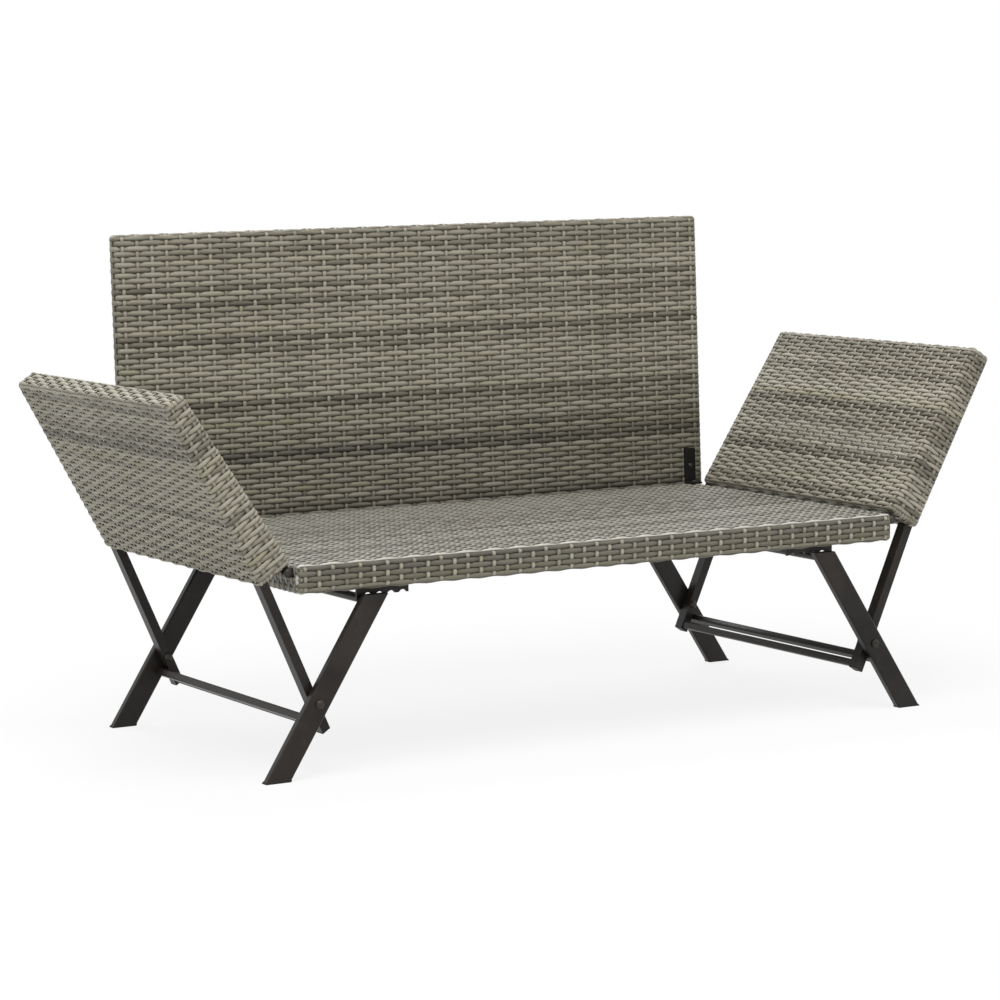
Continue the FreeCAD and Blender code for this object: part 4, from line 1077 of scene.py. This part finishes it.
@dataclass(frozen=True)
class Lamp:
    """A large soft round lamp that faces the bench."""

    name: str
    place: tuple[float, float, float]
    size: float
    power: float
    target: tuple[float, float, float] = (0.0, 0.0, 0.35)

    def build(self) -> None:
        """Make the lamp."""
        light = bpy.data.lights.new(self.name, "AREA")
        light.shape = "DISK"
        light.size = self.size
        light.energy = self.power
        lamp = bpy.data.objects.new(self.name, light)
        lamp.location = self.place
        aim = Vector(self.target) - Vector(self.place)
        lamp.rotation_euler = aim.to_track_quat("-Z", "Y").to_euler()
        bpy.context.scene.collection.objects.link(lamp)


@dataclass
class Studio:
    """A pale floor, soft lamps and the camera at the photograph's angle.

    The floor and the world are white where they are seen. The floor fades to full white from
    its fade's start, and the camera is given by the pixel that lies on its axis.
    """

    lamps: tuple[Lamp, ...] = (Lamp("key", (-1.2, -1.6, 4.2), 3.0, 150.0),
                               Lamp("fill", (2.8, -2.8, 2.0), 2.6, 30.0),
                               Lamp("rear", (0.3, 2.4, 3.4), 2.6, 60.0))
    floor_size: float = 24.0
    floor_colour: tuple[float, ...] = (0.86, 0.86, 0.86, 1.0)
    floor_white: float = 0.84
    fade_start: float = 0.9
    fade_length: float = 1.6
    world_level: float = 0.42
    camera_place: Vector = field(default_factory=lambda: Vector((-2.78162, -4.70805, 0.98987)))
    yaw: float = 0.5072
    pitch: float = -0.1253
    roll: float = -0.0146
    focal_pixels: float = 3374.37
    axis_pixel_x: float = 420.02
    axis_pixel_y: float = 533.56
    picture_side: float = 1000.0
    sensor_width: float = 36.0
    far_clip: float = 60.0

    def build(self) -> None:
        """Make the whole studio."""
        self._floor()
        self._world()
        for lamp in self.lamps:
            lamp.build()
        self._camera()
        bpy.context.scene.view_settings.view_transform = "Standard"

    def _seen(self, maker: TreeMaker) -> Term:
        """One for the rays that show the background: camera, glossy and clear ones.

        Args:
            maker: the maker of the material's or the world's tree.

        Returns:
            One for those rays and nought for the others.
        """
        rays = maker.node("ShaderNodeLightPath")
        camera, glossy, clear = (Term(maker, rays.outputs[name]) for name in (
            "Is Camera Ray", "Is Glossy Ray", "Is Transmission Ray"))
        return maker.math("MAXIMUM", maker.math("MAXIMUM", camera, glossy), clear)

    def _floor(self) -> None:
        """A plain pale floor that keeps the bench's shadow."""
        half = self.floor_size / 2
        mesh = bpy.data.meshes.new("Floor")
        mesh.from_pydata([(-half, -half, 0), (half, -half, 0), (half, half, 0), (-half, half, 0)],
                         [], [(0, 1, 2, 3)])
        floor = bpy.data.objects.new("Floor", mesh)
        bpy.context.scene.collection.objects.link(floor)
        material = bpy.data.materials.new("Pale_floor")
        material.use_nodes = True
        material.node_tree.nodes.clear()
        maker = TreeMaker(material.node_tree)
        matt = maker.node("ShaderNodeBsdfDiffuse", inputs={"Color": self.floor_colour})
        glow = maker.node("ShaderNodeEmission", inputs={"Color": WHITE, "Strength": 1.0})
        place = maker.term("ShaderNodeTexCoord", output="Object")
        away = maker.term("ShaderNodeVectorMath", {"operation": "LENGTH"}, {0: place}, "Value")
        fade = ((away - self.fade_start) / self.fade_length).between(0.0, 1.0)
        white = self.floor_white + fade * (1.0 - self.floor_white)
        mix = maker.node("ShaderNodeMixShader", inputs={0: self._seen(maker) * white,
                                                       1: matt.outputs[0], 2: glow.outputs[0]})
        maker.node("ShaderNodeOutputMaterial", inputs={"Surface": mix.outputs[0]})
        mesh.materials.append(material)

    def _world(self) -> None:
        """White where it is seen, and a soft even light elsewhere."""
        world = bpy.data.worlds.new("Studio")
        bpy.context.scene.world = world
        world.use_nodes = True
        world.node_tree.nodes.clear()
        maker = TreeMaker(world.node_tree)
        level = self._seen(maker) * (1.0 - self.world_level) + self.world_level
        back = maker.node("ShaderNodeBackground", inputs={"Color": WHITE, "Strength": level})
        maker.node("ShaderNodeOutputWorld", inputs={"Surface": back.outputs[0]})

    def _camera(self) -> None:
        """The camera, from its place, its turns and the pixel on its axis."""
        ahead = Vector((math.sin(self.yaw) * math.cos(self.pitch),
                        math.cos(self.yaw) * math.cos(self.pitch), math.sin(self.pitch)))
        right = Vector((math.cos(self.yaw), -math.sin(self.yaw), 0))
        up = right.cross(ahead)
        turned_right = right * math.cos(self.roll) + up * math.sin(self.roll)
        turned_up = up * math.cos(self.roll) - right * math.sin(self.roll)
        data = bpy.data.cameras.new("Camera")
        data.sensor_width = self.sensor_width
        data.lens = self.focal_pixels / self.picture_side * self.sensor_width
        data.shift_x = 0.5 - self.axis_pixel_x / self.picture_side
        data.shift_y = self.axis_pixel_y / self.picture_side - 0.5
        data.clip_end = self.far_clip
        camera = bpy.data.objects.new("Camera", data)
        turn = Matrix((turned_right, turned_up, -ahead)).transposed().to_4x4()
        camera.matrix_world = Matrix.Translation(self.camera_place) @ turn
        bpy.context.scene.collection.objects.link(camera)
        bpy.context.scene.camera = camera


def main() -> None:
    """Dress the frame, weave the panels and set up the studio."""
    logging.basicConfig(level=logging.INFO, format="%(name)s: %(message)s")
    finishes = Finishes()
    finishes.dress_frame()
    trees = {course: StrandTree(course) for course in Course}
    for maker in (SeatPanel(), BackPanel(), WingPanel(Side.LEFT), WingPanel(Side.RIGHT)):
        panel = maker.panel(finishes, trees)
        pieces = panel.build()
        LOG.info("%s is woven in %d pieces", panel.name, len(pieces))
    Studio().build()


if __name__ == "__main__":
    main()
